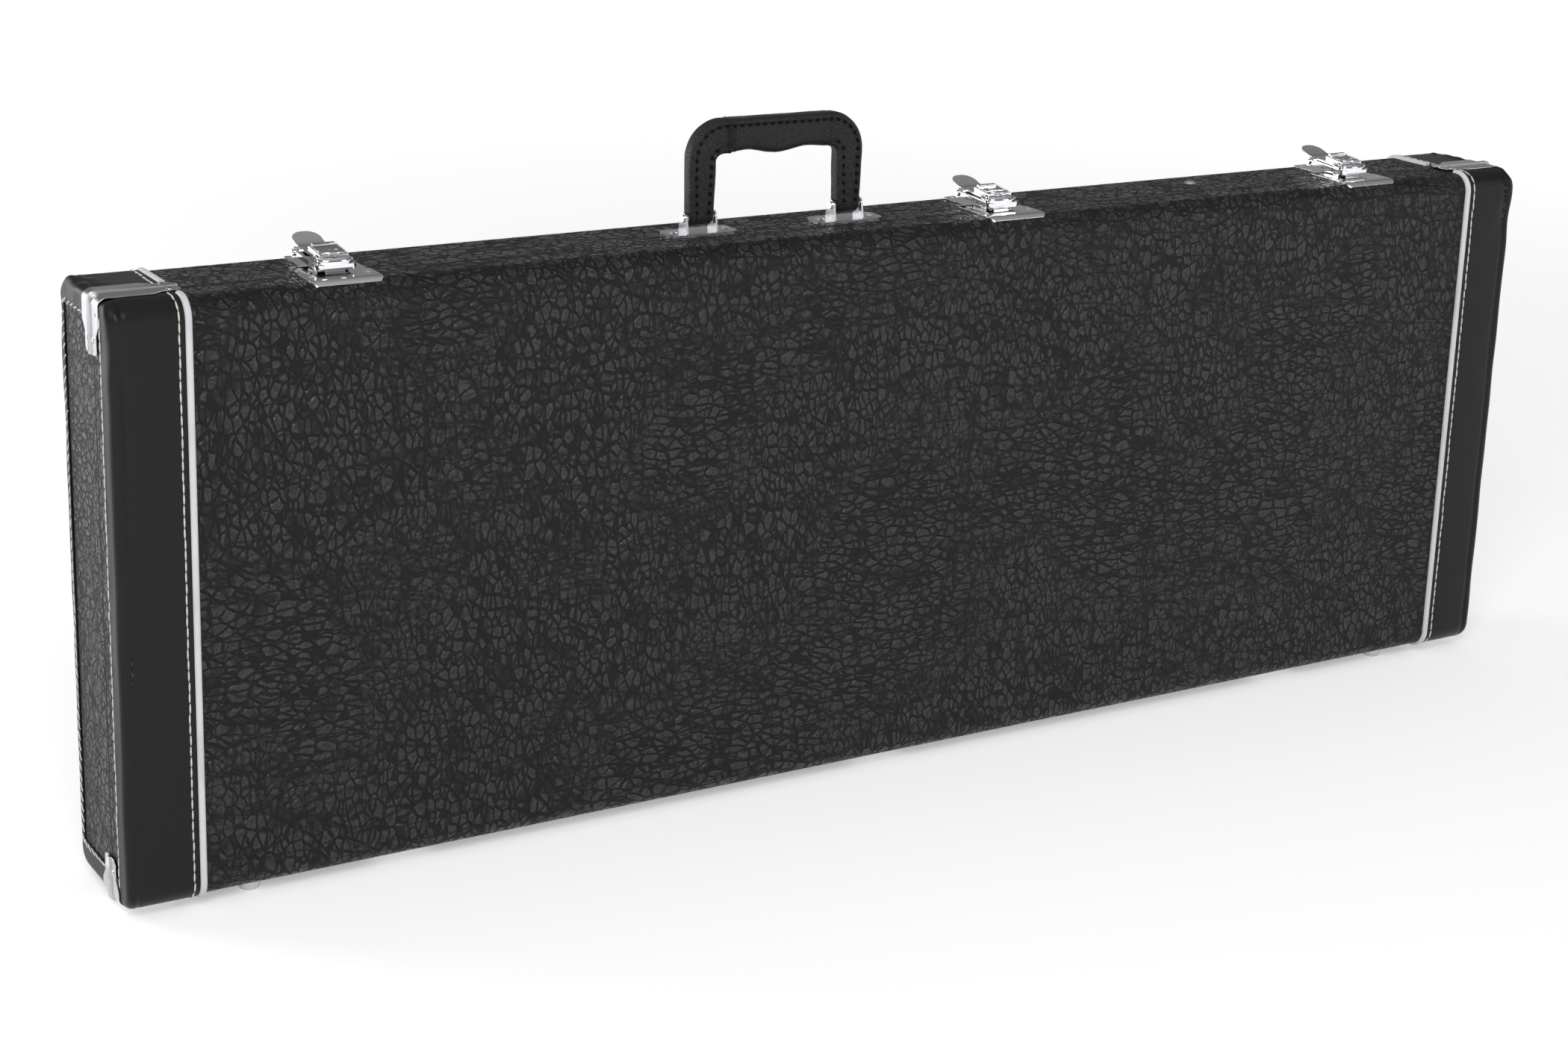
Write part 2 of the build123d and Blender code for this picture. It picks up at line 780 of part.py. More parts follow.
cradle_front = near_face(BASE) + cradle_front_inset
cavity_back = y_back - cavity_inset
cavity_top = z_top - cavity_inset
cavity_bottom = z_bottom + cavity_inset
bin_left = cradle_centres[0] + cradle_thickness / 2
bin_right = cradle_centres[1] - cradle_thickness / 2
bin_middle = (bin_left + bin_right) / 2
bin_bottom = z_bottom + bin_bottom_height
bin_lid_back = cradle_front + bin_lid_thickness
bin_lid_top = cavity_top - bin_lid_clearance


def make_neck_cradle():
    """Two padded walls across the base, notched for the neck."""
    cavity = shell_block(BASE, cavity_inset)
    neck_z = z_bottom + neck_centre_height
    walls = []
    for x in cradle_centres:
        half = cradle_thickness / 2
        wall = cavity & span(x - half, x + half, cradle_front, cavity_back, cavity_bottom, cavity_top)
        notch = Pos(cradle_front, neck_z) * RectangleRounded(
            2 * neck_notch_depth, neck_notch_width, neck_notch_corner
        )
        wall -= Pos(x, 0, 0) * extrude(Plane.YZ * notch, amount=cradle_thickness, both=True)
        walls.append(wall)
    return group(walls)


def make_accessory_bin():
    """Open tray between the cradle walls, against the top of the case."""
    cavity = shell_block(BASE, cavity_inset)
    front = bin_lid_back + side_clearance
    tray = cavity & span(bin_left, bin_right, front, cavity_back, bin_bottom, cavity_top)
    inside = span(
        bin_left + bin_wall, bin_right - bin_wall, front - cutter_margin, cavity_back - bin_floor,
        bin_bottom + bin_wall, cavity_top - bin_wall,
    )
    return tray - inside


def make_bin_lid():
    """Flat padded lid of the accessory bin."""
    return span(
        bin_left + bin_lid_clearance, bin_right - bin_lid_clearance,
        cradle_front, bin_lid_back, bin_bottom, bin_lid_top,
    )


def make_ribbon():
    """Pull tab on the bin lid."""
    low = bin_bottom + ribbon_edge_distance
    return span(
        bin_middle - ribbon_width / 2, bin_middle + ribbon_width / 2,
        cradle_front - ribbon_thickness, cradle_front, low, low + ribbon_length,
    )


# Build every node
parts = {}
for side, name in ((BASE, "base"), (LID, "lid")):
    parts[name + "_plywood_shell"] = make_layer(side, plywood_inset, lining_inset)
    parts[name + "_vinyl_cover"] = make_layer(side, vinyl_inset, plywood_inset)
    parts[name + "_plush_lining"] = make_layer(side, lining_inset, cavity_inset)
    for end, hand in ((-1, "left"), (1, "right")):
        parts[name + "_end_cover_" + hand] = make_end_cover(side, end)
        parts[name + "_piping_" + hand] = make_piping(side, end)
        parts[name + "_valance_top_" + hand] = make_valance(side, end, 1)
        parts[name + "_valance_bottom_" + hand] = make_valance(side, end, -1)
    parts[name + "_valance_rivets"] = make_valance_rivets(side)
    parts[name + "_feet"] = make_feet(side)
    leaf = make_hinge_leaf(side)
    parts[name + "_hinge_leaves"] = group(Pos(x, 0, 0) * leaf for x in hinge_places)
parts["hinge_pins"] = group(Pos(x, 0, 0) * make_hinge_pin() for x in hinge_places)

pivot_pins = []
latch_rivets = []
strike_rivets = []
for number, x in enumerate(latch_centres, start=1):
    seat = Pos(x, y_seam, vinyl_top)
    lever = make_lever()
    if number == locking_latch:
        lever -= Pos(0, barrel_back, lever_rear_height) * Cylinder(
            barrel_radius + running_clearance, lever_rear_height
        )
        parts["lock_barrel"] = seat * make_lock_barrel()
    parts[f"strike_plate_{number}"] = seat * make_strike_plate()
    parts[f"latch_base_{number}"] = seat * make_latch_base()
    parts[f"latch_lever_{number}"] = seat * lever
    parts[f"latch_bail_{number}"] = seat * make_bail()
    parts[f"bail_pin_{number}"] = seat * make_bail_pin()
    pivot_pins.append(
        seat * cross_pin(lever_pin_radius, ear_outer, lever_pivot_back, lever_pivot_height)
    )
    latch_rivets += [seat * rivet for rivet in make_latch_rivets()]
    strike_rivets += [seat * rivet for rivet in make_strike_rivets()]
parts["latch_pivot_pins"] = group(pivot_pins)
parts["latch_rivets"] = group(latch_rivets)
parts["strike_rivets"] = group(strike_rivets)

handle_seat = Pos(handle_x, handle_y, vinyl_top)
core = make_handle_core()
parts["handle_core"] = handle_seat * core
parts["handle_cover"] = handle_seat * make_handle_cover(core)
for end, hand in ((-1, "left"), (1, "right")):
    parts["handle_bracket_" + hand] = handle_seat * Pos(end * leg_offset, 0, 0) * make_bracket()
parts["handle_pivot_pins"] = group(
    handle_seat * Pos(end * leg_offset, 0, 0) * make_handle_pin() for end in (-1, 1)
)
parts["handle_bracket_rivets"] = group(
    handle_seat
    * Pos(end * leg_offset + other * bracket_rivet_x, 0, bracket_thickness)
    * dome(bracket_rivet_radius, bracket_rivet_rise)
    for end in (-1, 1)
    for other in (-1, 1)
)

parts["neck_cradle"] = make_neck_cradle()
parts["accessory_bin"] = make_accessory_bin()
parts["bin_lid"] = make_bin_lid()
parts["bin_lid_ribbon"] = make_ribbon()
bin_rivet_seat = Pos(bin_middle + bin_rivet_offset, bin_rivet_y, vinyl_top)
parts["bin_rivet"] = bin_rivet_seat * dome(bin_rivet_radius, bin_rivet_rise)

os.makedirs("parts", exist_ok=True)
for name, shape in parts.items():
    export_step(shape, f"parts/{name}.step")
print(len(parts), "nodes")
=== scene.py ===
import json
import math

import bpy
import bmesh
from mathutils import Matrix, Vector, noise


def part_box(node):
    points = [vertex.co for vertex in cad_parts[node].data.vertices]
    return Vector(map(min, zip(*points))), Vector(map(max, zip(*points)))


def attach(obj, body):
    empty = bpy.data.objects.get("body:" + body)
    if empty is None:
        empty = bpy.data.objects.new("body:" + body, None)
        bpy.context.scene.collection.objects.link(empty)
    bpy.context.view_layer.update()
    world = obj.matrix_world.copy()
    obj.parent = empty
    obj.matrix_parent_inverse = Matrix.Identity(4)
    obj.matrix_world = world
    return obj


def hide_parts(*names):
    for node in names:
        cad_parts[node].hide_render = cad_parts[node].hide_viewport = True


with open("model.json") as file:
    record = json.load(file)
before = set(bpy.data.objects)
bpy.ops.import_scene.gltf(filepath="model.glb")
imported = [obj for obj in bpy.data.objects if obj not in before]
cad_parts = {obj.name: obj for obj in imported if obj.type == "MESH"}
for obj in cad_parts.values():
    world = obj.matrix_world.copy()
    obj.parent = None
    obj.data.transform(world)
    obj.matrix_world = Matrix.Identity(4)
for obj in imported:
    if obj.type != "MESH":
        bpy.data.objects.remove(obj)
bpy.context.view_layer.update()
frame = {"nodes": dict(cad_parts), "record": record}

# Plywood trays. The lid and the base are glued boxes of thin birch ply, and everything else is
# covered over them or fixed to them. Their raw edge shows only round the rim of the open case.
ply_face_tone = (0.56, 0.41, 0.25)
ply_dark_tone = (0.40, 0.27, 0.15)


def feed(tree, node, *values, **inputs):
    """Links or sets inputs of a node, in order or by name with an underscore for a space."""
    entries = list(zip(node.inputs, values))
    entries += [(node.inputs[key.replace("_", " ")], value) for key, value in inputs.items()]
    for entry, value in entries:
        if isinstance(value, bpy.types.NodeSocket):
            tree.links.new(value, entry)
        else:
            entry.default_value = value


def add_node(tree, kind, settings=None, *values, **inputs):
    """Node of a kind, with its settings and its inputs."""
    node = tree.nodes.new(kind)
    for key, value in (settings or {}).items():
        setattr(node, key, value)
    feed(tree, node, *values, **inputs)
    return node


def new_material(name, roughness=0.5, metallic=0.0, specular=0.5):
    """Material with its tree and its shader, ready for more nodes."""
    material = bpy.data.materials.new(name)
    material.use_nodes = True
    tree = material.node_tree
    shader = tree.nodes["Principled BSDF"]
    feed(tree, shader, Roughness=roughness, Metallic=metallic, Specular_IOR_Level=specular)
    return material, tree, shader


def object_coordinates(tree, stretch=(1.0, 1.0, 1.0)):
    """Object coordinates, stretched along the axes."""
    source = add_node(tree, "ShaderNodeTexCoord").outputs["Object"]
    return add_node(tree, "ShaderNodeMapping", Vector=source, Scale=stretch).outputs["Vector"]


def soft_noise(tree, place, scale, detail=3.0):
    """Noise value at a place."""
    return add_node(
        tree, "ShaderNodeTexNoise", Vector=place, Scale=scale, Detail=detail
    ).outputs["Fac"]


def blend_colours(tree, factor, first, second):
    """Colour between two fixed colours, by a factor."""
    mix = add_node(tree, "ShaderNodeMix", {"data_type": "RGBA"}, factor)
    mix.inputs[6].default_value = (*first, 1.0)
    mix.inputs[7].default_value = (*second, 1.0)
    return mix.outputs[2]


def remap(tree, value, low, high, to_low=0.0, to_high=1.0):
    """Smooth step of a value from one range to another."""
    return add_node(
        tree, "ShaderNodeMapRange", {"interpolation_type": "SMOOTHSTEP"}, Value=value,
        From_Min=low, From_Max=high, To_Min=to_low, To_Max=to_high,
    ).outputs["Result"]


def add_bump(tree, shader, height, depth, strength=1.0):
    """Bump of a real depth in metres."""
    bump = add_node(tree, "ShaderNodeBump", Strength=strength, Distance=depth, Height=height)
    feed(tree, shader, Normal=bump.outputs["Normal"])


def dress(material, *names):
    """Gives CAD nodes a material."""
    for name in names:
        for slot in frame["nodes"][name].material_slots:
            slot.material = material


plywood, tree, shader = new_material("birch plywood", roughness=0.62)
grain = soft_noise(tree, object_coordinates(tree, (3.0, 160.0, 34.0)), 4.0, 5.0)
streak = remap(tree, grain, 0.35, 0.7)
feed(tree, shader, Base_Color=blend_colours(tree, streak, ply_face_tone, ply_dark_tone))
add_bump(tree, shader, grain, 0.0002, 0.5)
dress(plywood, "base_plywood_shell", "lid_plywood_shell")

# Vinyl cover. Embossed PVC cloth, glued over the outside of both trays. Its hide grain has small
# cells with raised rims, finer wrinkles inside them, and long creases that cross the sheet.
seam_y = -0.015
hide_cell_count = 138.0
hide_wrinkle_count = 300.0
hide_long_crease_count = 46.0
hide_depth = 0.00120
# Painted light: the crest tone is a painted highlight on the rims, and the crease tone is painted
# shade in the creases.
hide_crest_highlight_tone = (0.0370, 0.0370, 0.0376)
hide_crease_shade_tone = (0.0055, 0.0055, 0.0055)
raised_rim = ((0.0, 0.0), (0.05, 0.10), (0.16, 1.0), (0.27, 0.76), (0.5, 0.68))
plain_furrow = ((0.0, 0.0), (0.16, 1.0))
thin_furrow = ((0.0, 0.0), (0.055, 1.0))


def vector_math(tree, operation, *values, **inputs):
    """Arithmetic on vectors, each fixed or a socket."""
    settings = {"operation": operation}
    return add_node(tree, "ShaderNodeVectorMath", settings, *values, **inputs).outputs[0]


def warped(tree, place, scale, amount, detail=2.0):
    """Coordinates pushed about by a soft noise."""
    push = add_node(tree, "ShaderNodeTexNoise", Vector=place, Scale=scale, Detail=detail)
    centred = vector_math(tree, "SUBTRACT", push.outputs["Color"], (0.5, 0.5, 0.5))
    return vector_math(tree, "ADD", place, vector_math(tree, "SCALE", centred, Scale=amount))


def edge_distance(tree, place, count):
    """Distance from the borders of a field of cells."""
    return add_node(
        tree, "ShaderNodeTexVoronoi", {"feature": "DISTANCE_TO_EDGE"}, Vector=place, Scale=count
    ).outputs["Distance"]


def grey_ramp(tree, value, stops, blue=1.0):
    """Grey that follows a value through stops, each a place and a level."""
    curve = add_node(tree, "ShaderNodeValToRGB", Fac=value)
    elements = curve.color_ramp.elements
    for index, (position, level) in enumerate(stops):
        element = elements[index] if index < 2 else elements.new(position)
        element.position = position
        element.color = (level, level, level * blue, 1.0)
    return curve.outputs["Color"]


def hide_cells(tree, place, stretch, count, profile):
    """Network of creases: its height follows a profile of the distance from the crease."""
    stretched = add_node(tree, "ShaderNodeMapping", Vector=place, Scale=stretch).outputs["Vector"]
    return grey_ramp(tree, edge_distance(tree, stretched, count), profile)


def combine(tree, operation, first, second):
    """Arithmetic on two values, each a number or a socket."""
    return add_node(tree, "ShaderNodeMath", {"operation": operation}, first, second).outputs[0]


def mixed_values(tree, factor, first, second):
    """Value between two others, by a factor that is a number or a socket."""
    return add_node(
        tree, "ShaderNodeMix", {"data_type": "FLOAT"}, factor, A=first, B=second
    ).outputs[0]


vinyl, tree, shader = new_material("embossed vinyl", specular=0.42)
place = object_coordinates(tree)
bent = warped(tree, warped(tree, place, 12.0, 0.012), 95.0, 0.0042)
lying = hide_cells(tree, bent, (0.70, 1.0, 1.35), hide_cell_count, raised_rim)
standing = hide_cells(tree, bent, (1.30, 1.0, 0.78), hide_cell_count, raised_rim)
cells = mixed_values(tree, remap(tree, soft_noise(tree, place, 8.0), 0.42, 0.58), lying, standing)
wrinkles = hide_cells(tree, bent, (1.15, 1.0, 0.9), hide_wrinkle_count, plain_furrow)
across = hide_cells(tree, bent, (0.35, 1.0, 1.3), hide_long_crease_count, thin_furrow)
upright = hide_cells(tree, bent, (1.3, 1.0, 0.4), hide_long_crease_count, thin_furrow)
long_creases = combine(tree, "MULTIPLY", across, upright)
relief = mixed_values(tree, 0.20, cells, wrinkles)
relief = combine(tree, "MULTIPLY", relief, remap(tree, long_creases, 0.0, 1.0, 0.45, 1.0))
split = add_node(tree, "ShaderNodeSeparateXYZ", Vector=place)
from_seam = combine(tree, "SUBTRACT", split.outputs["Y"], seam_y)
turned_edge = remap(tree, combine(tree, "MULTIPLY", from_seam, from_seam), 1e-7, 1.1e-6)
relief = combine(tree, "MULTIPLY", relief, turned_edge)
pores = soft_noise(tree, place, 1500.0, 2.0)
height = mixed_values(tree, 0.05, relief, pores)
# The base colour is painted light. Crests get the painted highlight tone. Creases get the painted
# shade tone, and so does the line along the seam where the relief fades out.
rim_highlight_mask = remap(tree, relief, 0.55, 1.0)
feed(
    tree, shader, Base_Color=blend_colours(tree, rim_highlight_mask, hide_crease_shade_tone, hide_crest_highlight_tone),
    Roughness=remap(tree, relief, 0.1, 0.8, 0.62, 0.33),
    Specular_IOR_Level=remap(tree, relief, 0.1, 0.7, 0.25, 0.40),
)
add_bump(tree, shader, height, hide_depth)
dress(vinyl, "base_vinyl_cover", "lid_vinyl_cover")

# Plush lining. Short-pile plush on thin foam, glued inside both trays, so it has round corners
# and a rolled rim. Box sizes that later pieces share are read from the frame here.
box_low, box_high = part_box("base_end_cover_left")
half_length = -box_low.x
box_bottom, box_top, box_back = box_low.z, box_high.z, box_high.y
box_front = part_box("lid_end_cover_left")[0].y
lining_outer_inset = 0.0070
lining_inner_inset = 0.0100
rim_gap = 0.0002
plush_tone = (0.012, 0.012, 0.0135)
plush_brushed_tone = (0.026, 0.026, 0.029)

plush, tree, shader = new_material("short-pile plush", roughness=0.9, specular=0.15)
place = object_coordinates(tree)
brushed = remap(tree, soft_noise(tree, place, 28.0), 0.35, 0.65)
feed(
    tree, shader, Base_Color=blend_colours(tree, brushed, plush_tone, plush_brushed_tone),
    Sheen_Weight=0.35, Sheen_Roughness=0.4,
)
pile = mixed_values(tree, 0.3, soft_noise(tree, place, 900.0), soft_noise(tree, place, 220.0))
add_bump(tree, shader, pile, 0.0009)


def linked_object(name, data):
    """New object in the scene."""
    piece = bpy.data.objects.new(name, data)
    bpy.context.scene.collection.objects.link(piece)
    return piece


def finished_object(name, shape, material):
    """Object from a bmesh, shaded smooth."""
    mesh = bpy.data.meshes.new(name)
    shape.to_mesh(mesh)
    shape.free()
    mesh.materials.clear()
    mesh.materials.append(material)
    for polygon in mesh.polygons:
        polygon.use_smooth = True
    return linked_object(name, mesh)


def even_normals(piece):
    """Normals weighted by face size, so that flats stay flat beside rounded edges."""
    even = piece.modifiers.new("even", "WEIGHTED_NORMAL")
    even.keep_sharp = True


def box_ring(inset, y, radius, corner_steps=5):
    """Rounded rectangle inside the box outline, at one depth."""
    half = half_length - inset
    points = []
    for turn, across, up in ((0, 1, 1), (90, -1, 1), (180, -1, -1), (270, 1, -1)):
        middle_z = box_top - inset - radius if up > 0 else box_bottom + inset + radius
        for step in range(corner_steps + 1):
            angle = math.radians(turn + 90 * step / corner_steps)
            points.append(Vector((
                across * (half - radius) + radius * math.cos(angle), y,
                middle_z + radius * math.sin(angle),
            )))
    return points


def ring_shell(name, rings, material):
    """Closed shell through a row of rings, capped at both ends."""
    shape = bmesh.new()
    loops = [[shape.verts.new(point) for point in ring] for ring in rings]
    count = len(loops[0])
    for lower, upper in zip(loops, loops[1:]):
        for i in range(count):
            j = (i + 1) % count
            shape.faces.new((lower[i], lower[j], upper[j], upper[i]))
    shape.faces.new(loops[0])
    shape.faces.new(loops[-1])
    bmesh.ops.recalc_face_normals(shape, faces=shape.faces)
    return finished_object(name, shape, material)


for body, side, far in (("base", 1, box_back), ("lid", -1, box_front)):
    rim = seam_y + side * rim_gap
    floor = far - side * lining_inner_inset
    profile = (
        (lining_outer_inset, far - side * lining_outer_inset, 0.002),
        (lining_outer_inset, rim + side * 0.0012, 0.002),
        (lining_outer_inset + 0.0006, rim + side * 0.0003, 0.0022),
        (lining_outer_inset + 0.0015, rim, 0.0026),
        (lining_inner_inset - 0.0006, rim + side * 0.0004, 0.0034),
        (lining_inner_inset, rim + side * 0.0016, 0.004),
        (lining_inner_inset, floor - side * 0.0090, 0.004),
        (lining_inner_inset + 0.0007, floor - side * 0.0055, 0.0045),
        (lining_inner_inset + 0.0025, floor - side * 0.0025, 0.0060),
        (lining_inner_inset + 0.0055, floor - side * 0.0007, 0.0085),
        (lining_inner_inset + 0.0090, floor, 0.012),
    )
    lining = ring_shell(
        body + "_plush_lining_pad", [box_ring(*station) for station in profile], plush
    )
    even_normals(lining)
    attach(lining, body)
    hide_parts(body + "_plush_lining")

# Neck cradle, accessory bin and bin lid. Boards wrapped in the same plush over foam: the cradle
# walls carry the neck in their notches, and the bin lid lifts on a fabric hinge at its top.
wall_voxel = 0.0020


def merged_copy(node):
    """Mesh of a CAD node with its loose triangles joined."""
    shape = bmesh.new()
    shape.from_mesh(frame["nodes"][node].data)
    bmesh.ops.remove_doubles(shape, verts=shape.verts, dist=0.00001)
    return shape


def wrapped_board(node, material, rounds):
    """Copy of a board with its edges rounded, as plush over foam rounds them."""
    source = finished_object(node + " source", merged_copy(node), material)
    remesh = source.modifiers.new("even", "REMESH")
    remesh.mode = "VOXEL"
    remesh.voxel_size = wall_voxel
    soften = source.modifiers.new("soften", "SMOOTH")
    soften.iterations = rounds
    evaluated = source.evaluated_get(bpy.context.evaluated_depsgraph_get())
    shape = bmesh.new()
    shape.from_mesh(bpy.data.meshes.new_from_object(evaluated))
    bpy.data.objects.remove(source)
    return finished_object(node + "_pad", shape, material)


for node, body, rounds in (
    ("neck_cradle", "base", 6), ("accessory_bin", "base", 2), ("bin_lid", "bin_lid", 3),
):
    board = wrapped_board(node, plush, rounds)
    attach(board, body)
    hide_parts(node)

# Pull ribbon. A short woven tab, glued by its upper end to the front of the bin lid, so that two
# fingers can lift the lid. It is one flat layer that hangs against the plush.
ribbon_low, ribbon_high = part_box("bin_lid_ribbon")
ribbon_rows, ribbon_columns = 12, 6
ribbon_cloth, tree, shader = new_material("woven ribbon", roughness=0.7, specular=0.2)
weave = add_node(
    tree, "ShaderNodeTexWave", {"bands_direction": "Z"}, Vector=object_coordinates(tree),
    Scale=420.0, Distortion=0.3,
).outputs["Fac"]
ribbon_tone = blend_colours(tree, weave, (0.008, 0.008, 0.009), (0.02, 0.02, 0.022))
feed(tree, shader, Base_Color=ribbon_tone)
add_bump(tree, shader, weave, 0.0002, 0.6)


def sheet_object(name, rows, material, thickness, middle):
    """Sheet through rows of points, facing away from a middle, with its thickness inside."""
    shape = bmesh.new()
    grid = [[shape.verts.new(point) for point in row] for row in rows]
    for lower, upper in zip(grid, grid[1:]):
        for i in range(len(lower) - 1):
            shape.faces.new((lower[i], lower[i + 1], upper[i + 1], upper[i]))
    shape.normal_update()
    if sum(
        (face.calc_center_median() - middle).dot(face.normal) * face.calc_area()
        for face in shape.faces
    ) < 0:
        bmesh.ops.reverse_faces(shape, faces=shape.faces)
    piece = finished_object(name, shape, material)
    solid = piece.modifiers.new("thickness", "SOLIDIFY")
    solid.thickness = thickness
    solid.offset = -1.0
    return piece


ribbon_points = []
for row in range(ribbon_rows + 1):
    share = row / ribbon_rows
    z = ribbon_high.z + (ribbon_low.z - ribbon_high.z) * share
    ribbon_points.append([
        Vector((
            ribbon_low.x + (ribbon_high.x - ribbon_low.x) * column / ribbon_columns,
            ribbon_low.y + 0.0001 * (1 - math.cos(math.pi * share)), z,
        ))
        for column in range(ribbon_columns + 1)
    ])
ribbon = sheet_object(
    "bin_lid_ribbon_cloth", ribbon_points, ribbon_cloth, 0.0006, Vector((0, 0.02, 0.3))
)
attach(ribbon, "bin_lid")
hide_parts("bin_lid_ribbon")

# End covers. Smooth leatherette, stretched round both ends over a thin pad, sewn down beside the
# piping and hemmed round an open panel on the end face. It puckers a little at the corners.
cover_edge_radius = 0.013
end_edge_radius = 0.005
cover_start = 0.0438
cover_thickness = 0.0009
stitch_distance = 0.0402
fold_distance = 0.0075
brow_drop = 0.0135
hem_widths = {"lid": 0.017, "base": 0.009}
hem_top, hem_bottom, hem_corner = 0.015, 0.017, 0.002
flat_stations = (
    cover_start, 0.0425, 0.0415, 0.0410, 0.0402, 0.0395, 0.0388, 0.0375, 0.035, 0.031, 0.027, 0.023,
    0.019, 0.016, 0.0135, 0.0115, 0.0100, 0.0090, 0.0082, 0.0075, 0.0068, 0.0060, end_edge_radius,
)
edge_turns = (15, 30, 45, 60, 75, 90)
hem_shares = (0.12, 0.3, 0.5, 0.68, 0.8, 0.88, 0.95, 1.0)
top_steps, turn_steps, face_steps = 12, 9, 45
stitch_dent, fold_depth, brow_depth = 0.00030, 0.00095, 0.00080
pad_rise, slack_rise, pucker_rise = 0.00035, 0.00022, 0.0014

leatherette, tree, shader = new_material("smooth leatherette", specular=0.24)
place = object_coordinates(tree)
pull = soft_noise(tree, place, 14.0, 2.0)
feed(
    tree, shader, Roughness=remap(tree, pull, 0.3, 0.7, 0.36, 0.46),
    Base_Color=blend_colours(tree, pull, (0.0062, 0.0062, 0.0062), (0.0088, 0.0087, 0.0084)),
)
skin = add_node(
    tree, "ShaderNodeTexVoronoi", {"feature": "SMOOTH_F1"}, Scale=850.0,
    Vector=warped(tree, place, 200.0, 0.002),
)
add_bump(tree, shader, skin.outputs["Distance"], 0.00012, 0.7)


def cover_path(side, hem):
    """Stations round a shell: place and outward direction in Y-Z, and place on the panel edge."""
    near, far = seam_y + side * rim_gap, side * box_back
    turn_y = far - side * cover_edge_radius
    panel_far = far - side * hem
    panel_turn = panel_far - side * hem_corner
    panel_top, panel_bottom = box_top - hem_top, box_bottom + hem_bottom
    upper = []
    for step in range(top_steps):
        share = step / top_steps
        upper.append((
            (near + (turn_y - near) * share, box_top), (0.0, 1.0),
            (near + (panel_turn - near) * share, panel_top),
        ))
    for step in range(turn_steps):
        angle = math.radians(90 * step / turn_steps)
        out, up = side * math.sin(angle), math.cos(angle)
        upper.append((
            (turn_y + out * cover_edge_radius, box_top - cover_edge_radius * (1 - up)), (out, up),
            (panel_turn + out * hem_corner, panel_top - hem_corner * (1 - up)),
        ))
    middle = (box_top + box_bottom) / 2
    panel_middle = (panel_top + panel_bottom) / 2
    height = box_top - cover_edge_radius - middle
    panel_height = panel_top - hem_corner - panel_middle
    for step in range(face_steps):
        share = 1 - step / face_steps
        upper.append((
            (far, middle + height * share), (side, 0.0),
            (panel_far, panel_middle + panel_height * share),
        ))
    lower = [
        ((p[0], 2 * middle - p[1]), (n[0], -n[1]), (q[0], panel_top + panel_bottom - q[1]))
        for p, n, q in reversed(upper)
    ]
    flat = ((far, middle), (side, 0.0), (panel_far, panel_middle))
    return upper + [flat] + lower


def bell(value, middle, width):
    """Smooth bump of height 1 round a middle."""
    return math.exp(-((value - middle) / width) ** 2)


def cover_offset(point, distance, out, end):
    """How far the leatherette stands off its board at a place."""
    face = abs(out[0]) ** 2
    drop = box_top - point.z
    sewn = -stitch_dent * bell(distance, stitch_distance, 0.0011)
    fold = -fold_depth * face * bell(distance, fold_distance, 0.0015)
    brow_span = 0.0
    if distance > fold_distance:
        brow_span = min(1.0, max(0.0, (stitch_distance - distance) / 0.006))
    brow = -brow_depth * face * bell(drop, brow_drop, 0.0022) * brow_span
    pad = pad_rise * face * bell(distance, 0.024, 0.013)
    slack = slack_rise * noise.noise(point * 26.0 + Vector((end * 3.0, 0, 0)))
    corner = bell(distance, 0.004, 0.011) * (0.25 + bell(drop, 0.02, 0.035))
    pucker = pucker_rise * corner * noise.noise(
        Vector((point.x * 210.0, point.y * 120.0, point.z * 38.0 + end * 5.0))
    )
    return sewn + fold + brow + pad + slack + pucker


for body, side in (("lid", -1), ("base", 1)):
    for end, hand in ((-1, "left"), (1, "right")):
        rows = []
        stations = [(distance, 0.0, 0.0) for distance in flat_stations]
        stations += [(None, turn, 0.0) for turn in edge_turns]
        stations += [(None, 90, share) for share in hem_shares]
        path = cover_path(side, hem_widths[body])
        for distance, turn, share in stations:
            row = []
            for (y, z), out, (panel_y, panel_z) in path:
                angle = math.radians(turn)
                inset = end_edge_radius * (1 - math.cos(angle)) if turn else 0.0
                reach = distance if turn == 0 else end_edge_radius * (1 - math.sin(angle))
                ring_y, ring_z = y - out[0] * inset, z - out[1] * inset
                point = Vector((
                    end * (half_length - reach),
                    ring_y + (panel_y - ring_y) * share, ring_z + (panel_z - ring_z) * share,
                ))
                away = Vector((
                    end * math.sin(angle), out[0] * math.cos(angle), out[1] * math.cos(angle)
                ))
                hold = 0.0 if distance == cover_start else 1.0 - share ** 4
                row.append(point + away * cover_offset(point, reach, out, end) * hold)
            rows.append(row)
        cover = sheet_object(
            f"{body}_end_cover_{hand}_skin", rows, leatherette, cover_thickness,
            Vector((end * 0.4, 0, (box_top + box_bottom) / 2)),
        )
        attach(cover, body)
        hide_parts(f"{body}_end_cover_{hand}")

# Piping. A white PVC bead with a smooth skin, sewn in where each end cover meets the vinyl. It
# runs round both shells and carries faint marks of handling.
piping, tree, shader = new_material("white piping", roughness=0.33)
handled = remap(tree, soft_noise(tree, object_coordinates(tree), 30.0), 0.4, 0.75)
piping_tone = blend_colours(tree, handled, (0.74, 0.755, 0.77), (0.64, 0.655, 0.675))
feed(tree, shader, Base_Color=piping_tone)
dress(piping, "base_piping_left", "base_piping_right", "lid_piping_left", "lid_piping_right")

# Hem stitching. Thick white thread in a lockstitch, one row beside the piping over each end
# cover and one row round the open panel of each end face.
stitch_pitch = 0.0066
stitch_length = 0.0066
thread_radius = 0.00058
stitch_wander = 0.00022
stitch_row_x = half_length - stitch_distance
hem_stitch_inset = 0.0015
valance_reach = 0.0145


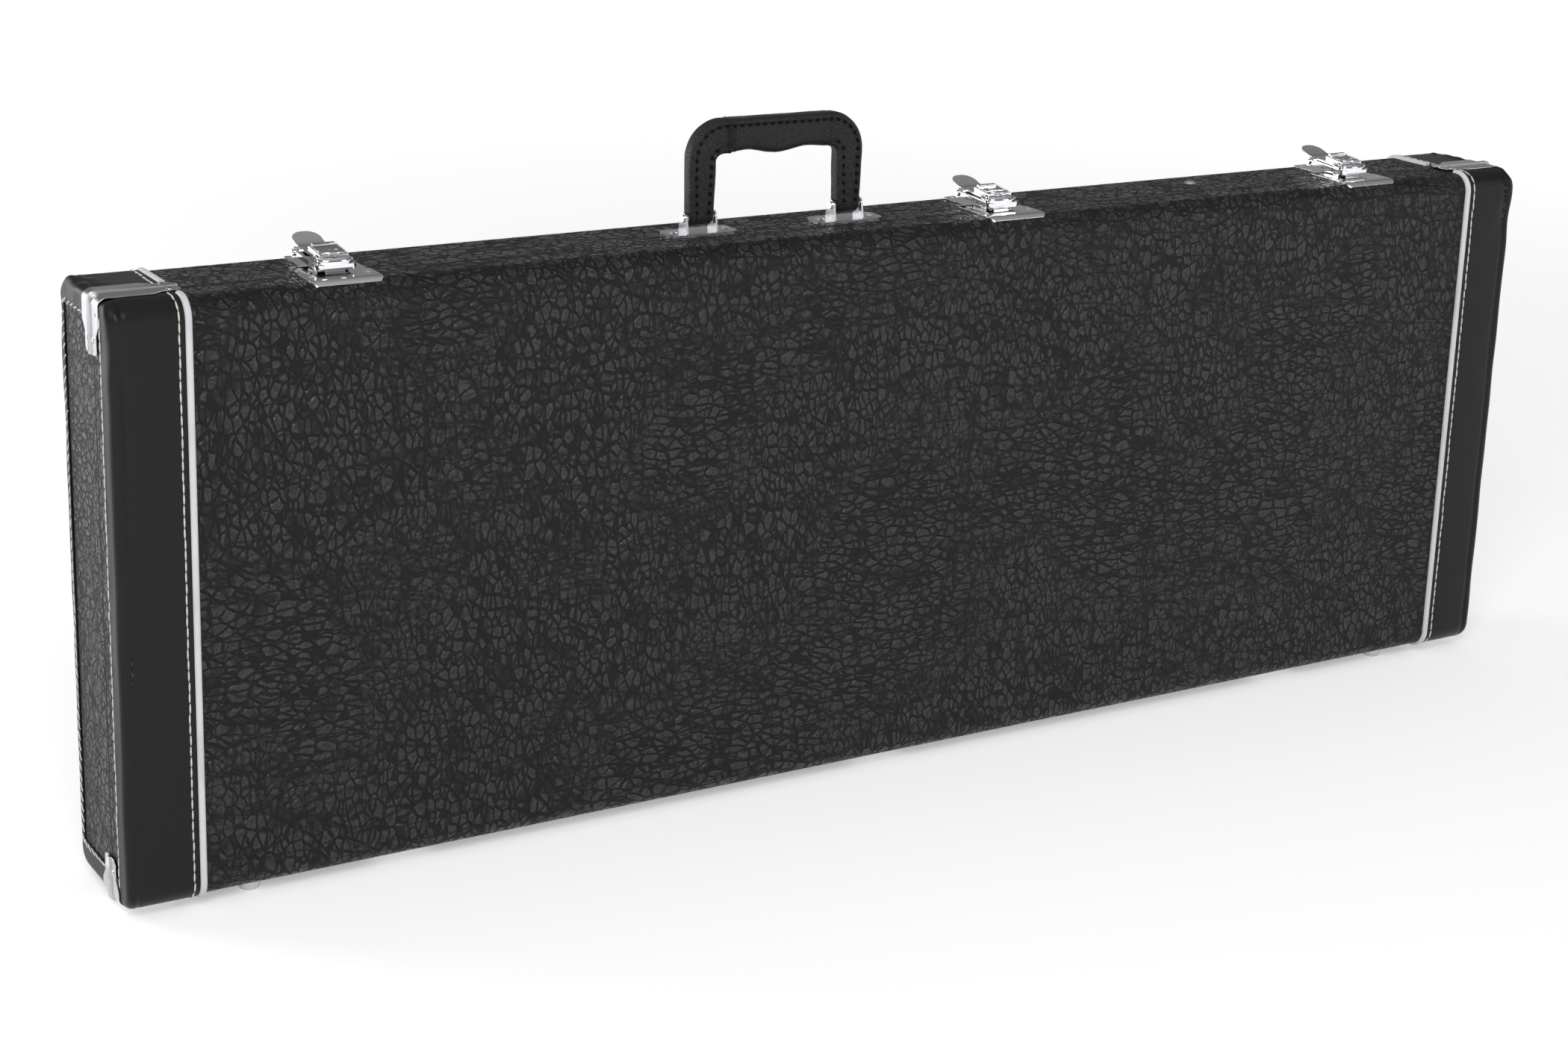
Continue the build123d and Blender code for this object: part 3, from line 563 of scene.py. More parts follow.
def over_the_edges(x, far, near):
    """Row of points from the rim over the top, down the face and back under the bottom."""
    side = 1.0 if far > near else -1.0
    radius = cover_edge_radius
    centre_y = far - side * radius
    turns = [math.radians(90 * step / 8) for step in range(1, 9)]
    upper = [Vector((x, near, box_top)), Vector((x, centre_y, box_top))]
    upper += [
        Vector((x, centre_y + side * radius * math.sin(a), box_top - radius * (1 - math.cos(a))))
        for a in turns
    ]
    lower = [Vector((x, p.y, box_bottom + box_top - p.z)) for p in reversed(upper)]
    return upper + lower


def rows_object(name, rows):
    """Loose edges that the stitches follow."""
    verts, edges = [], []
    for row in rows:
        start = len(verts)
        verts += [tuple(p) for p in row]
        edges += [(start + i, start + i + 1) for i in range(len(row) - 1)]
    mesh = bpy.data.meshes.new(name)
    mesh.from_pydata(verts, edges, [])
    return linked_object(name, mesh)


def new_tree(name, sizes):
    """Geometry tree with named sizes, what it is given, and its output node."""
    tree = bpy.data.node_groups.new(name, "GeometryNodeTree")
    tree.interface.new_socket("Geometry", in_out="INPUT", socket_type="NodeSocketGeometry")
    for label, value in sizes.items():
        socket = tree.interface.new_socket(label, in_out="INPUT", socket_type="NodeSocketFloat")
        socket.default_value = value
    tree.interface.new_socket("Geometry", in_out="OUTPUT", socket_type="NodeSocketGeometry")
    return tree, tree.nodes.new("NodeGroupInput").outputs, tree.nodes.new("NodeGroupOutput")


def next_step(tree, kind, geometry, **inputs):
    """Geometry after one more node."""
    return add_node(tree, kind, Geometry=geometry, **inputs).outputs["Geometry"]


def stitching_tree(name, material):
    """Tree that lays one rounded stitch after another along loose edges."""
    tree, given, result = new_tree(name, {
        "Pitch": stitch_pitch, "Length": stitch_length, "Radius": thread_radius,
        "Wander": stitch_wander,
    })
    curve = add_node(tree, "GeometryNodeMeshToCurve", Mesh=given["Geometry"]).outputs["Curve"]
    points = add_node(
        tree, "GeometryNodeCurveToPoints", {"mode": "LENGTH"}, Curve=curve, Length=given["Pitch"]
    ).outputs
    bead = add_node(tree, "GeometryNodeMeshUVSphere", Segments=8, Rings=7, Radius=1.0)
    size = add_node(
        tree, "ShaderNodeCombineXYZ", X=given["Radius"], Y=given["Radius"],
        Z=combine(tree, "MULTIPLY", given["Length"], 0.5),
    )
    spread = add_node(
        tree, "FunctionNodeRandomValue", {"data_type": "FLOAT_VECTOR"}, Seed=7,
        Min=vector_math(tree, "SCALE", (-1, -1, -1), Scale=given["Wander"]),
        Max=vector_math(tree, "SCALE", (1, 1, 1), Scale=given["Wander"]),
    )
    moved = next_step(
        tree, "GeometryNodeSetPosition", points["Points"], Offset=spread.outputs["Value"]
    )
    placed = add_node(
        tree, "GeometryNodeInstanceOnPoints", Points=moved, Instance=bead.outputs["Mesh"],
        Rotation=points["Rotation"], Scale=size.outputs["Vector"],
    )
    real = next_step(tree, "GeometryNodeRealizeInstances", placed.outputs["Instances"])
    smooth = next_step(tree, "GeometryNodeSetShadeSmooth", real)
    dressed = next_step(tree, "GeometryNodeSetMaterial", smooth, Material=material)
    feed(tree, result, Geometry=dressed)
    return tree


def run_tree(name, guide, tree, material, **values):
    """Plain mesh object from a guide and a tree, with the guide removed."""
    modifier = guide.modifiers.new("build", "NODES")
    modifier.node_group = tree
    for item in tree.interface.items_tree:
        if item.in_out == "INPUT" and item.name in values:
            modifier[item.identifier] = values[item.name]
    evaluated = guide.evaluated_get(bpy.context.evaluated_depsgraph_get())
    mesh = bpy.data.meshes.new_from_object(evaluated)
    mesh.name = name
    if not mesh.materials:
        mesh.materials.append(material)
    bpy.data.objects.remove(guide)
    return linked_object(name, mesh)


white_thread, tree, shader = new_material("white thread", roughness=0.65)
twist = add_node(
    tree, "ShaderNodeTexWave", {"bands_direction": "DIAGONAL"}, Scale=700.0,
    Vector=object_coordinates(tree),
).outputs["Fac"]
thread_tone = blend_colours(tree, twist, (0.66, 0.65, 0.62), (0.80, 0.79, 0.76))
feed(tree, shader, Base_Color=thread_tone)
add_bump(tree, shader, twist, 0.0001, 0.5)
white_stitching = stitching_tree("hem stitching", white_thread)

hem_rows = {"lid": [], "base": []}
for end in (-1, 1):
    x = end * stitch_row_x
    hem_rows["lid"].append(over_the_edges(x, box_front, seam_y - valance_reach))
    hem_rows["base"].append(over_the_edges(x, box_back, seam_y + valance_reach))
    face_x = end * half_length
    high_z = box_top - hem_top + hem_stitch_inset
    low_z = box_bottom + hem_bottom - hem_stitch_inset
    for body, side, far in (("lid", -1, box_front), ("base", 1, box_back)):
        row_y = far - side * (hem_widths[body] - hem_stitch_inset)
        near_y = seam_y + side * valance_reach
        corners = [(near_y, high_z), (row_y, high_z), (row_y, low_z), (near_y, low_z)]
        if body == "lid":
            corners = corners[1:3]
        hem_rows[body].append([Vector((face_x, y, z)) for y, z in corners])
for body, rows in hem_rows.items():
    stitches = run_tree(
        body + "_hem_stitches", rows_object(body + " rows", rows), white_stitching, white_thread
    )
    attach(stitches, body)

# Corner valances. Pressed steel strips with a satin nickel plate, folded over the rim at each
# corner with a raised lip, pinned on the end face and screwed at the tip beside the piping.
screw_head_radius = 0.0019
screw_head_rise = 0.0007
screw_cross_length = 0.0022
screw_cross_width = 0.00045
screw_cross_height = 2.06 * screw_head_rise
tip_screw_distance = 0.0435
tip_screw_offset = 0.0064
valance_thickness = 0.0008

body_of = {
    node: body for body, nodes in frame["record"]["behaviour"]["bodies"].items() for node in nodes
}
nickel, tree, shader = new_material("satin nickel", metallic=1.0)
place = object_coordinates(tree)
rubbed = soft_noise(tree, place, 14.0, 2.0)
worn = remap(tree, rubbed, 0.35, 0.7)
feed(
    tree, shader, Roughness=remap(tree, rubbed, 0.3, 0.7, 0.22, 0.30),
    Base_Color=blend_colours(tree, worn, (0.60, 0.605, 0.62), (0.53, 0.535, 0.55)),
)
add_bump(tree, shader, soft_noise(tree, place, 260.0, 2.0), 0.00002, 0.3)


def round_edges(piece, width, segments, angle, miter="MITER_SHARP"):
    """Rounds the edges that turn by more than an angle in degrees."""
    edges = piece.modifiers.new("edges", "BEVEL")
    edges.width, edges.segments, edges.miter_outer = width, segments, miter
    edges.limit_method, edges.angle_limit = "ANGLE", math.radians(angle)
    even_normals(piece)


def pressed_copy(node, width, material):
    """Copy of a metal CAD node with its sharp edges rounded off, standing for the node."""
    shape = merged_copy(node)
    bmesh.ops.dissolve_limit(
        shape, angle_limit=math.radians(0.5), verts=shape.verts, edges=shape.edges
    )
    piece = finished_object(node + "_pressed", shape, material)
    round_edges(piece, width, 3, 38, "MITER_ARC")
    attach(piece, body_of[node])
    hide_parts(node)
    return piece


for shell in ("base", "lid"):
    for level in ("top", "bottom"):
        for hand in ("left", "right"):
            pressed_copy(f"{shell}_valance_{level}_{hand}", 0.00040, nickel)
dress(nickel, "base_valance_rivets", "lid_valance_rivets")

lip_bead_radius = 0.0007
lip_corner = 0.0042
lip_sink, lip_end_gap, face_slack = 0.0005, 0.001, 0.0002


def add_wire(shape, points, radius, sides=12):
    """Wire through a row of points from one Y back to it. It is round where it runs across Y."""
    loops = []
    across = Vector((0, 1, 0))
    for index, point in enumerate(points):
        along = (points[min(index + 1, len(points) - 1)] - points[max(index - 1, 0)]).normalized()
        above = across.cross(along)
        turns = [2 * math.pi * side / sides for side in range(sides)]
        loops.append([
            shape.verts.new(point + (across * math.cos(t) + above * math.sin(t)) * radius)
            for t in turns
        ])
    for lower, upper in zip(loops, loops[1:]):
        for i in range(sides):
            j = (i + 1) % sides
            shape.faces.new((lower[i], lower[j], upper[j], upper[i]))
    shape.faces.new(loops[0])
    shape.faces.new(loops[-1])


def lip_path(node, end, up):
    """Middle line of a valance's raised lip: over its flat, round the corner, down the drop."""
    low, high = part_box(node)
    far_x, far_z = (high.x if end > 0 else low.x), (high.z if up > 0 else low.z)
    points = [vert.co for vert in frame["nodes"][node].data.vertices]
    flat = [p for p in points if abs(p.z - far_z) < face_slack]
    drop = [p for p in points if abs(p.x - far_x) < face_slack]
    y = (min(p.y for p in flat) + max(p.y for p in flat)) / 2
    start = min(abs(p.x) for p in flat) + lip_end_gap
    stop = (min(p.z * up for p in drop) + lip_end_gap) * up
    x, z = abs(far_x) - lip_sink, far_z - up * lip_sink
    path = [Vector((end * start, y, z)), Vector((end * (x - lip_corner), y, z))]
    path += [
        Vector((
            end * (x - lip_corner * (1 - math.sin(math.radians(a)))), y,
            z - up * lip_corner * (1 - math.cos(math.radians(a))),
        ))
        for a in range(15, 91, 15)
    ]
    return path + [Vector((end * x, y, stop))]


for shell in ("base", "lid"):
    beads = bmesh.new()
    for level, up in (("top", 1), ("bottom", -1)):
        for hand, end in (("left", -1), ("right", 1)):
            add_wire(beads, lip_path(f"{shell}_valance_{level}_{hand}", end, up), lip_bead_radius)
    bmesh.ops.recalc_face_normals(beads, faces=beads.faces)
    lips = finished_object(shell + "_valance_lips", beads, nickel)
    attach(lips, shell)


def screw_tree(name, head_material, cross_shade_material):
    """Tree that sets a domed cross-head screw on each vertex, facing its aim; its cross is dark
    bars, painted shade for the recess.
    """
    tree, given, result = new_tree(name, {"Radius": screw_head_radius, "Rise": screw_head_rise})
    head = add_node(tree, "GeometryNodeMeshUVSphere", Segments=20, Rings=10, Radius=1.0)
    size = add_node(
        tree, "ShaderNodeCombineXYZ", X=given["Radius"], Y=given["Radius"], Z=given["Rise"]
    )
    shaped = next_step(
        tree, "GeometryNodeTransform", head.outputs["Mesh"], Scale=size.outputs["Vector"]
    )
    plated = next_step(tree, "GeometryNodeSetMaterial", shaped, Material=head_material)
    joined = add_node(tree, "GeometryNodeJoinGeometry", Geometry=plated)
    for across, along in (
        (screw_cross_length, screw_cross_width), (screw_cross_width, screw_cross_length)
    ):
        bar = add_node(tree, "GeometryNodeMeshCube", Size=(across, along, screw_cross_height))
        dark = next_step(
            tree, "GeometryNodeSetMaterial", bar.outputs["Mesh"], Material=cross_shade_material
        )
        feed(tree, joined, Geometry=dark)
    aim = add_node(
        tree, "GeometryNodeInputNamedAttribute", {"data_type": "FLOAT_VECTOR"}, Name="aim"
    )
    turn = add_node(
        tree, "FunctionNodeAlignRotationToVector", {"axis": "Z"}, Vector=aim.outputs["Attribute"]
    )
    placed = add_node(
        tree, "GeometryNodeInstanceOnPoints", Points=given["Geometry"],
        Instance=joined.outputs["Geometry"], Rotation=turn.outputs["Rotation"],
    )
    real = next_step(tree, "GeometryNodeRealizeInstances", placed.outputs["Instances"])
    feed(tree, result, Geometry=real)
    return tree


# Painted shade: each screw's cross recess is drawn as dark bars whose colour stands for the shade
# inside it, mottled a little by a noise.
recess_shade, tree, shader = new_material("painted screw recess shade", roughness=0.7, specular=0.2)
recess_mottle = soft_noise(tree, object_coordinates(tree), 900.0)
recess_shade_tone = blend_colours(tree, recess_mottle, (0.006, 0.006, 0.006), (0.02, 0.019, 0.018))
feed(tree, shader, Base_Color=recess_shade_tone)
tip_screws = screw_tree("tip screws", nickel, recess_shade)
for body, side in (("lid", -1), ("base", 1)):
    spots = [
        (end * (half_length - tip_screw_distance), seam_y + side * tip_screw_offset, z, up)
        for end in (-1, 1)
        for z, up in ((box_top + valance_thickness, 1.0), (box_bottom - valance_thickness, -1.0))
    ]
    spot_mesh = bpy.data.meshes.new(body + " spots")
    spot_mesh.from_pydata([spot[:3] for spot in spots], [], [])
    aims = spot_mesh.attributes.new("aim", "FLOAT_VECTOR", "POINT")
    for index, spot in enumerate(spots):
        aims.data[index].vector = (0.0, 0.0, spot[3])
    guide = linked_object(body + " spots", spot_mesh)
    screws = run_tree(body + "_tip_screws", guide, tip_screws, nickel)
    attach(screws, body)

# Hinges and glides. Three leaf hinges under the case turn on headed pins, and four turned
# glides carry it. All are nickel plated steel, riveted through the ply.
for shell in ("base", "lid"):
    pressed_copy(f"{shell}_feet", 0.0003, nickel)
    pressed_copy(f"{shell}_hinge_leaves", 0.0002, nickel)
dress(nickel, "hinge_pins")

# Latches. Three draw latches in bright chrome: a strike plate that wraps over the lid's edge, a
# base plate with two ears, a hollow lever with a thumb tab, and a link pulled over the strike.
lever_front, lever_back = -0.0005, 0.017
lever_front_height, lever_back_height = 0.012, 0.014
lever_rise = (lever_back_height - lever_front_height) / (lever_back - lever_front)
trim_round = 0.00018
rim_half, rim_reach, rim_radius = 0.0083, 0.0060, 0.00095
rim_start, rim_turn, rim_lift = 0.0166, 0.0045, 0.0003
side_steps, arc_steps = 5, 12
rib_middle, rib_half = 0.0022, 0.0009
tab_roll = (-0.0070, 0.0070, 0.0146, 0.0168, -0.0005, 0.0012)
tab_line = (-0.0070, 0.0070, 0.0052, 0.0058, -0.0003, 0.00035)
front_rib = (-0.0012, 0.0026, -0.002, 0.0004)

chrome, tree, shader = new_material("bright chrome", metallic=1.0)
polish = soft_noise(tree, object_coordinates(tree), 120.0)
feed(
    tree, shader, Roughness=remap(tree, polish, 0.35, 0.75, 0.06, 0.15),
    Base_Color=blend_colours(tree, polish, (0.80, 0.80, 0.815), (0.72, 0.725, 0.74)),
)


def lever_top(seat, x, u, lift):
    """Place on the sloping top of a lever, u back from the seam."""
    return seat + Vector((x, u, lever_front_height + lever_rise * (u - lever_front) + lift))


def add_bar(shape, seat, x0, x1, u0, u1, low, high):
    """Bar on the sloping top of a lever, from u0 to u1 back from the seam."""
    corners = [
        shape.verts.new(lever_top(seat, x, u, level))
        for level in (low, high) for x, u in ((x0, u0), (x1, u0), (x1, u1), (x0, u1))
    ]
    for loop in (
        (3, 2, 1, 0), (4, 5, 6, 7), (0, 1, 5, 4), (1, 2, 6, 5), (2, 3, 7, 6), (3, 0, 4, 7)
    ):
        shape.faces.new([corners[i] for i in loop])


def rim_path(seat):
    """Rim of a lever's top: up one side, round the front and back down the other side."""
    length = rim_start - rim_turn
    turns = [math.pi * step / arc_steps for step in range(arc_steps + 1)]
    flat = [(-rim_half, rim_start - length * step / side_steps) for step in range(side_steps)]
    flat += [(-rim_half * math.cos(t), rim_turn - rim_reach * math.sin(t)) for t in turns]
    flat += [(rim_half, rim_turn + length * step / side_steps) for step in range(1, side_steps + 1)]
    return [lever_top(seat, x, u, rim_lift) for x, u in flat]


for number in (1, 2, 3):
    for node in ("strike_plate", "latch_base", "latch_lever", "latch_bail"):
        pressed_copy(f"{node}_{number}", 0.00035, chrome)
    dress(chrome, f"bail_pin_{number}")
    base_low, base_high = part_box(f"latch_base_{number}")
    seat = Vector(((base_low.x + base_high.x) / 2, seam_y, base_low.z))
    trim = bmesh.new()
    add_wire(trim, rim_path(seat), rim_radius)
    add_bar(trim, seat, *tab_roll)
    add_bar(trim, seat, *tab_line)
    for middle in (-rib_middle, rib_middle):
        add_bar(trim, seat, middle - rib_half, middle + rib_half, *front_rib)
    bmesh.ops.recalc_face_normals(trim, faces=trim.faces)
    piece = finished_object(f"latch_lever_{number}_trim", trim, chrome)
    round_edges(piece, trim_round, 2, 50)
    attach(piece, f"latch_lever_{number}")
dress(
    chrome, "latch_rivets", "strike_rivets", "latch_pivot_pins", "lock_barrel",
    "handle_bracket_rivets", "handle_pivot_pins", "bin_rivet",
)

# Handle brackets. Nickel plated strips with two thin ears for each leg, riveted to the top board.
# The chrome pins through the ears carry the handle.
dress(nickel, "handle_bracket_left", "handle_bracket_right")

# Carrying handle. A steel strap sewn into black grained leather with a rolled edge, and a
# second piece of leather folded round the grip. Stitch holes run beside every edge.
handle_low, handle_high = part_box("handle_cover")
handle_middle = (handle_low + handle_high) / 2
handle_middle.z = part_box("latch_base_1")[0].z
leg_foot = handle_low.z - handle_middle.z
outer_half = (handle_high.x - handle_low.x) / 2
outer_top = handle_high.z - handle_middle.z
outer_round = 0.025
inner_half, inner_top, inner_round = 0.0445, 0.0508, 0.0058
foot_outer_taper, foot_inner_taper = 0.0013, 0.0016
half_thickness = (handle_high.y - handle_low.y) / 2
rolled_edge = 0.0032
stitch_inset = 0.0043
swell_half, swell_depth = 0.022, 0.0030
corner_drop = 0.0011
wrap_left, wrap_right, wrap_thickness = -0.0350, 0.0385, 0.00055
fold_height = 0.00120
fold_waves = (
    (wrap_left, 1.0, 0.0008), (wrap_left - 0.0018, -0.55, 0.0009),
    (wrap_left + 0.0018, -0.55, 0.0008), (wrap_left + 0.0036, 0.35, 0.0010),
    (wrap_right, -0.6, 0.0007),
)
grip_roll = 0.0054
groove_depth, crown_rise = 0.00080, 0.00025
round_steps, grip_steps = 17, 48
leg_shares = (0.0, 0.008, 0.025, 0.05, 0.085, *[0.12 + 0.88 * k / 20 for k in range(20)])

strap_steel, tree, shader = new_material("plain strap steel", roughness=0.4, metallic=1.0)
rolled = soft_noise(tree, object_coordinates(tree), 300.0)
feed(tree, shader, Base_Color=blend_colours(tree, rolled, (0.30, 0.30, 0.31), (0.42, 0.42, 0.43)))
dress(strap_steel, "handle_core")

handle_leather, tree, shader = new_material("grained leather", specular=0.36)
place = object_coordinates(tree)
grain_cells = edge_distance(tree, warped(tree, place, 260.0, 0.002), 780.0)
creases = remap(tree, grain_cells, 0.0, 0.25)
softness = soft_noise(tree, place, 70.0)
feed(
    tree, shader, Roughness=remap(tree, softness, 0.3, 0.7, 0.34, 0.48),
    Base_Color=blend_colours(tree, softness, (0.0085, 0.0080, 0.0080), (0.0135, 0.0125, 0.0125)),
)
add_bump(tree, shader, mixed_values(tree, 0.45, creases, softness), 0.00042)


def smooth_step(value, low, high):
    """0 below low, 1 above high, smooth between."""
    share = min(1.0, max(0.0, (value - low) / (high - low)))
    return share * share * (3 - 2 * share)


def grip_underside(x):
    """Height of the inner edge of the grip: two finger hollows beside a swell."""
    swell = swell_depth * 0.5 * (1 + math.cos(math.pi * min(1.0, abs(x) / swell_half)))
    corner = smooth_step(abs(x), swell_half, inner_half - inner_round)
    return inner_top - swell - corner_drop * corner


def handle_stations():
    """Matched outer and inner points from the left foot over the grip to the right foot."""
    leg_top_outer, leg_top_inner = outer_top - outer_round, inner_top - inner_round
    stations = []
    for share in leg_shares:
        narrow = (1 - share) ** 1.5
        stations.append((
            (foot_outer_taper * narrow - outer_half, leg_foot + (leg_top_outer - leg_foot) * share),
            (-foot_inner_taper * narrow - inner_half,
             leg_foot + (leg_top_inner - leg_foot) * share),
        ))
    for step in range(round_steps):
        angle = math.radians(90 * step / round_steps)
        across, up = math.cos(angle), math.sin(angle)
        stations.append((
            (-outer_half + outer_round * (1 - across), leg_top_outer + outer_round * up),
            (-inner_half + inner_round * (1 - across),
             leg_top_inner + (inner_round - corner_drop) * up),
        ))
    outer_end, inner_end = outer_half - outer_round, inner_half - inner_round
    places = {-1.0 + 2.0 * k / grip_steps for k in range(grip_steps + 1)}
    places |= {(wrap_left + k * 0.0004) / outer_end for k in range(-9, 15)}
    places |= {(wrap_right + k * 0.0004) / outer_end for k in range(-5, 2)}
    grip = [
        ((place * outer_end, outer_top), (place * inner_end, grip_underside(place * inner_end)))
        for place in sorted(places) if abs(place) <= 1.0
    ]
    return stations + grip + [((-o[0], o[1]), (-i[0], i[1])) for o, i in reversed(stations)]


def rolled_side(roll, depth, groove, shift):
    """Half section from an edge inwards: the roll, a bead and the groove of the stitches."""
    points = [(0.0, 0.0), (0.0, 0.5 * (depth - roll)), (0.0, depth - roll)]
    points += [
        (roll * (1 - math.cos(math.radians(a))), depth - roll + roll * math.sin(math.radians(a)))
        for a in (22.5, 45, 67.5, 90)
    ]
    beside = ((0.0034, 0.0), (0.0038, -0.35), (stitch_inset, -1.0), (0.0050, -0.3), (0.0064, 0.05))
    return points + [(e + shift, depth + rise * groove) for e, rise in beside]


def chord(outer, inner):
    """Outer and inner place of a station, and the direction between them."""
    start, stop = Vector((outer[0], 0, outer[1])), Vector((inner[0], 0, inner[1]))
    return start, stop, (stop - start).normalized()


def handle_ring(outer, inner):
    """Section of the handle between an outer and an inner point, with rolled edges."""
    x_middle = (outer[0] + inner[0]) / 2
    on_grip = outer[1] > outer_top - 0.0001
    wrapped = on_grip and wrap_left < x_middle < wrap_right
    fold = fold_height * sum(rise * bell(x_middle, x, width) for x, rise, width in fold_waves)
    grow = (wrap_thickness if wrapped else 0.0) + (fold if on_grip else 0.0)
    lift = outer[1] - leg_foot
    foot = math.sqrt(max(0.08, 1 - max(0.0, 1 - lift / 0.005) ** 2)) if lift < 0.005 else 1.0
    depth = (half_thickness - wrap_thickness - 0.0002 + grow) * foot
    start, stop, across = chord(outer, inner)
    width = (stop - start).length
    roll = min(rolled_edge, depth * 0.75)
    inner_roll = min(grip_roll if wrapped else rolled_edge, depth * 0.88)
    groove = groove_depth * foot
    calm = 0.1 if wrapped else 1.0
    outer_side = rolled_side(roll, depth, groove, 0.0)
    inner_side = rolled_side(inner_roll, depth, groove * calm, max(0.0, inner_roll - rolled_edge))
    half = outer_side + [(width / 2, depth + crown_rise)]
    half += [(width - e, y) for e, y in reversed(inner_side)]
    loop = half + [(e, -y) for e, y in reversed(half[1:-1])]
    return [handle_middle + start + across * e + Vector((0, y, 0)) for e, y in loop]


handle_body = ring_shell(
    "handle_leather_body", [handle_ring(*station) for station in handle_stations()], handle_leather
)
handle_mesh = bmesh.new()
handle_mesh.from_mesh(handle_body.data)
handle_mesh.normal_update()
for vert in handle_mesh.verts:
    if vert.co.z > handle_low.z + 0.010:
        crumple = noise.noise(vert.co * 85.0) * 0.00022 + noise.noise(vert.co * 260.0) * 0.00008
        vert.co += vert.normal * (crumple - 0.0001)
handle_mesh.to_mesh(handle_body.data)
handle_mesh.free()
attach(handle_body, "handle")
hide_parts("handle_cover")

black_thread, tree, shader = new_material("black waxed thread", roughness=0.8, specular=0.15)
lay = soft_noise(tree, object_coordinates(tree), 1400.0)
wax_tone = blend_colours(tree, lay, (0.0015, 0.0015, 0.0015), (0.005, 0.005, 0.005))
feed(tree, shader, Base_Color=wax_tone)
black_stitching = stitching_tree("handle stitching", black_thread)
handle_rows = []
for face in (-1, 1):
    outer_row, left_row, right_row = [], [], []
    for outer, inner in handle_stations():
        if outer[1] < leg_foot + 0.007:
            continue
        start, stop, across = chord(outer, inner)
        on_wrap = outer[1] > outer_top - 0.0001 and wrap_left < outer[0] < wrap_right
        depth = half_thickness - 0.0006 + (wrap_thickness if on_wrap else 0.0)
        shift = handle_middle + Vector((0, face * depth, 0))
        outer_row.append(shift + start + across * stitch_inset)
        if outer[1] < outer_top - 0.004:
            row = left_row if outer[0] < 0 else right_row
            row.append(shift + stop - across * stitch_inset)
    handle_rows += [outer_row, left_row, right_row]
handle_stitches = run_tree(
    "handle_stitches", rows_object("handle rows", handle_rows), black_stitching, black_thread,
    Pitch=0.0054, Length=0.0026, Radius=0.00095, Wander=0.00008,
)
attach(handle_stitches, "handle")

# Studio. A white floor, a white surround that darkens above the horizon, and three soft lamps:
# one high at the left, a weak one at the right, and one low behind the left end.
floor_mesh = bpy.data.meshes.new("floor")
floor_mesh.from_pydata([(-30, -30, 0), (30, -30, 0), (30, 30, 0), (-30, 30, 0)], [], [(0, 1, 2, 3)])
floor = linked_object("floor", floor_mesh)
surround_levels = (
    (0.0, 0.5), (1.0, 0.55), (0.49, 0.6), (0.53, 0.5), (0.60, 0.24), (0.72, 0.15), (0.88, 0.34),
)


def seen_ray(tree):
    """1 for rays that show the background: camera, glossy and transmitted ones."""
    path = add_node(tree, "ShaderNodeLightPath")
    mirrored = combine(
        tree, "MAXIMUM", path.outputs["Is Glossy Ray"], path.outputs["Is Transmission Ray"]
    )
    return path.outputs["Is Camera Ray"], mirrored


paper, tree, shader = new_material("white paper floor", roughness=0.9, specular=0.0)
seen, mirrored = seen_ray(tree)
reach = add_node(
    tree, "ShaderNodeVectorMath", {"operation": "LENGTH"}, object_coordinates(tree)
).outputs["Value"]
lift = remap(tree, reach, 0.7, 4.0, 0.38, 0.80)
feed(
    tree, shader, Base_Color=(0.90, 0.90, 0.90, 1.0), Emission_Color=(1.0, 1.0, 1.0, 1.0),
    Emission_Strength=combine(tree, "MULTIPLY", combine(tree, "MAXIMUM", seen, mirrored), lift),
)
floor_mesh.materials.append(paper)

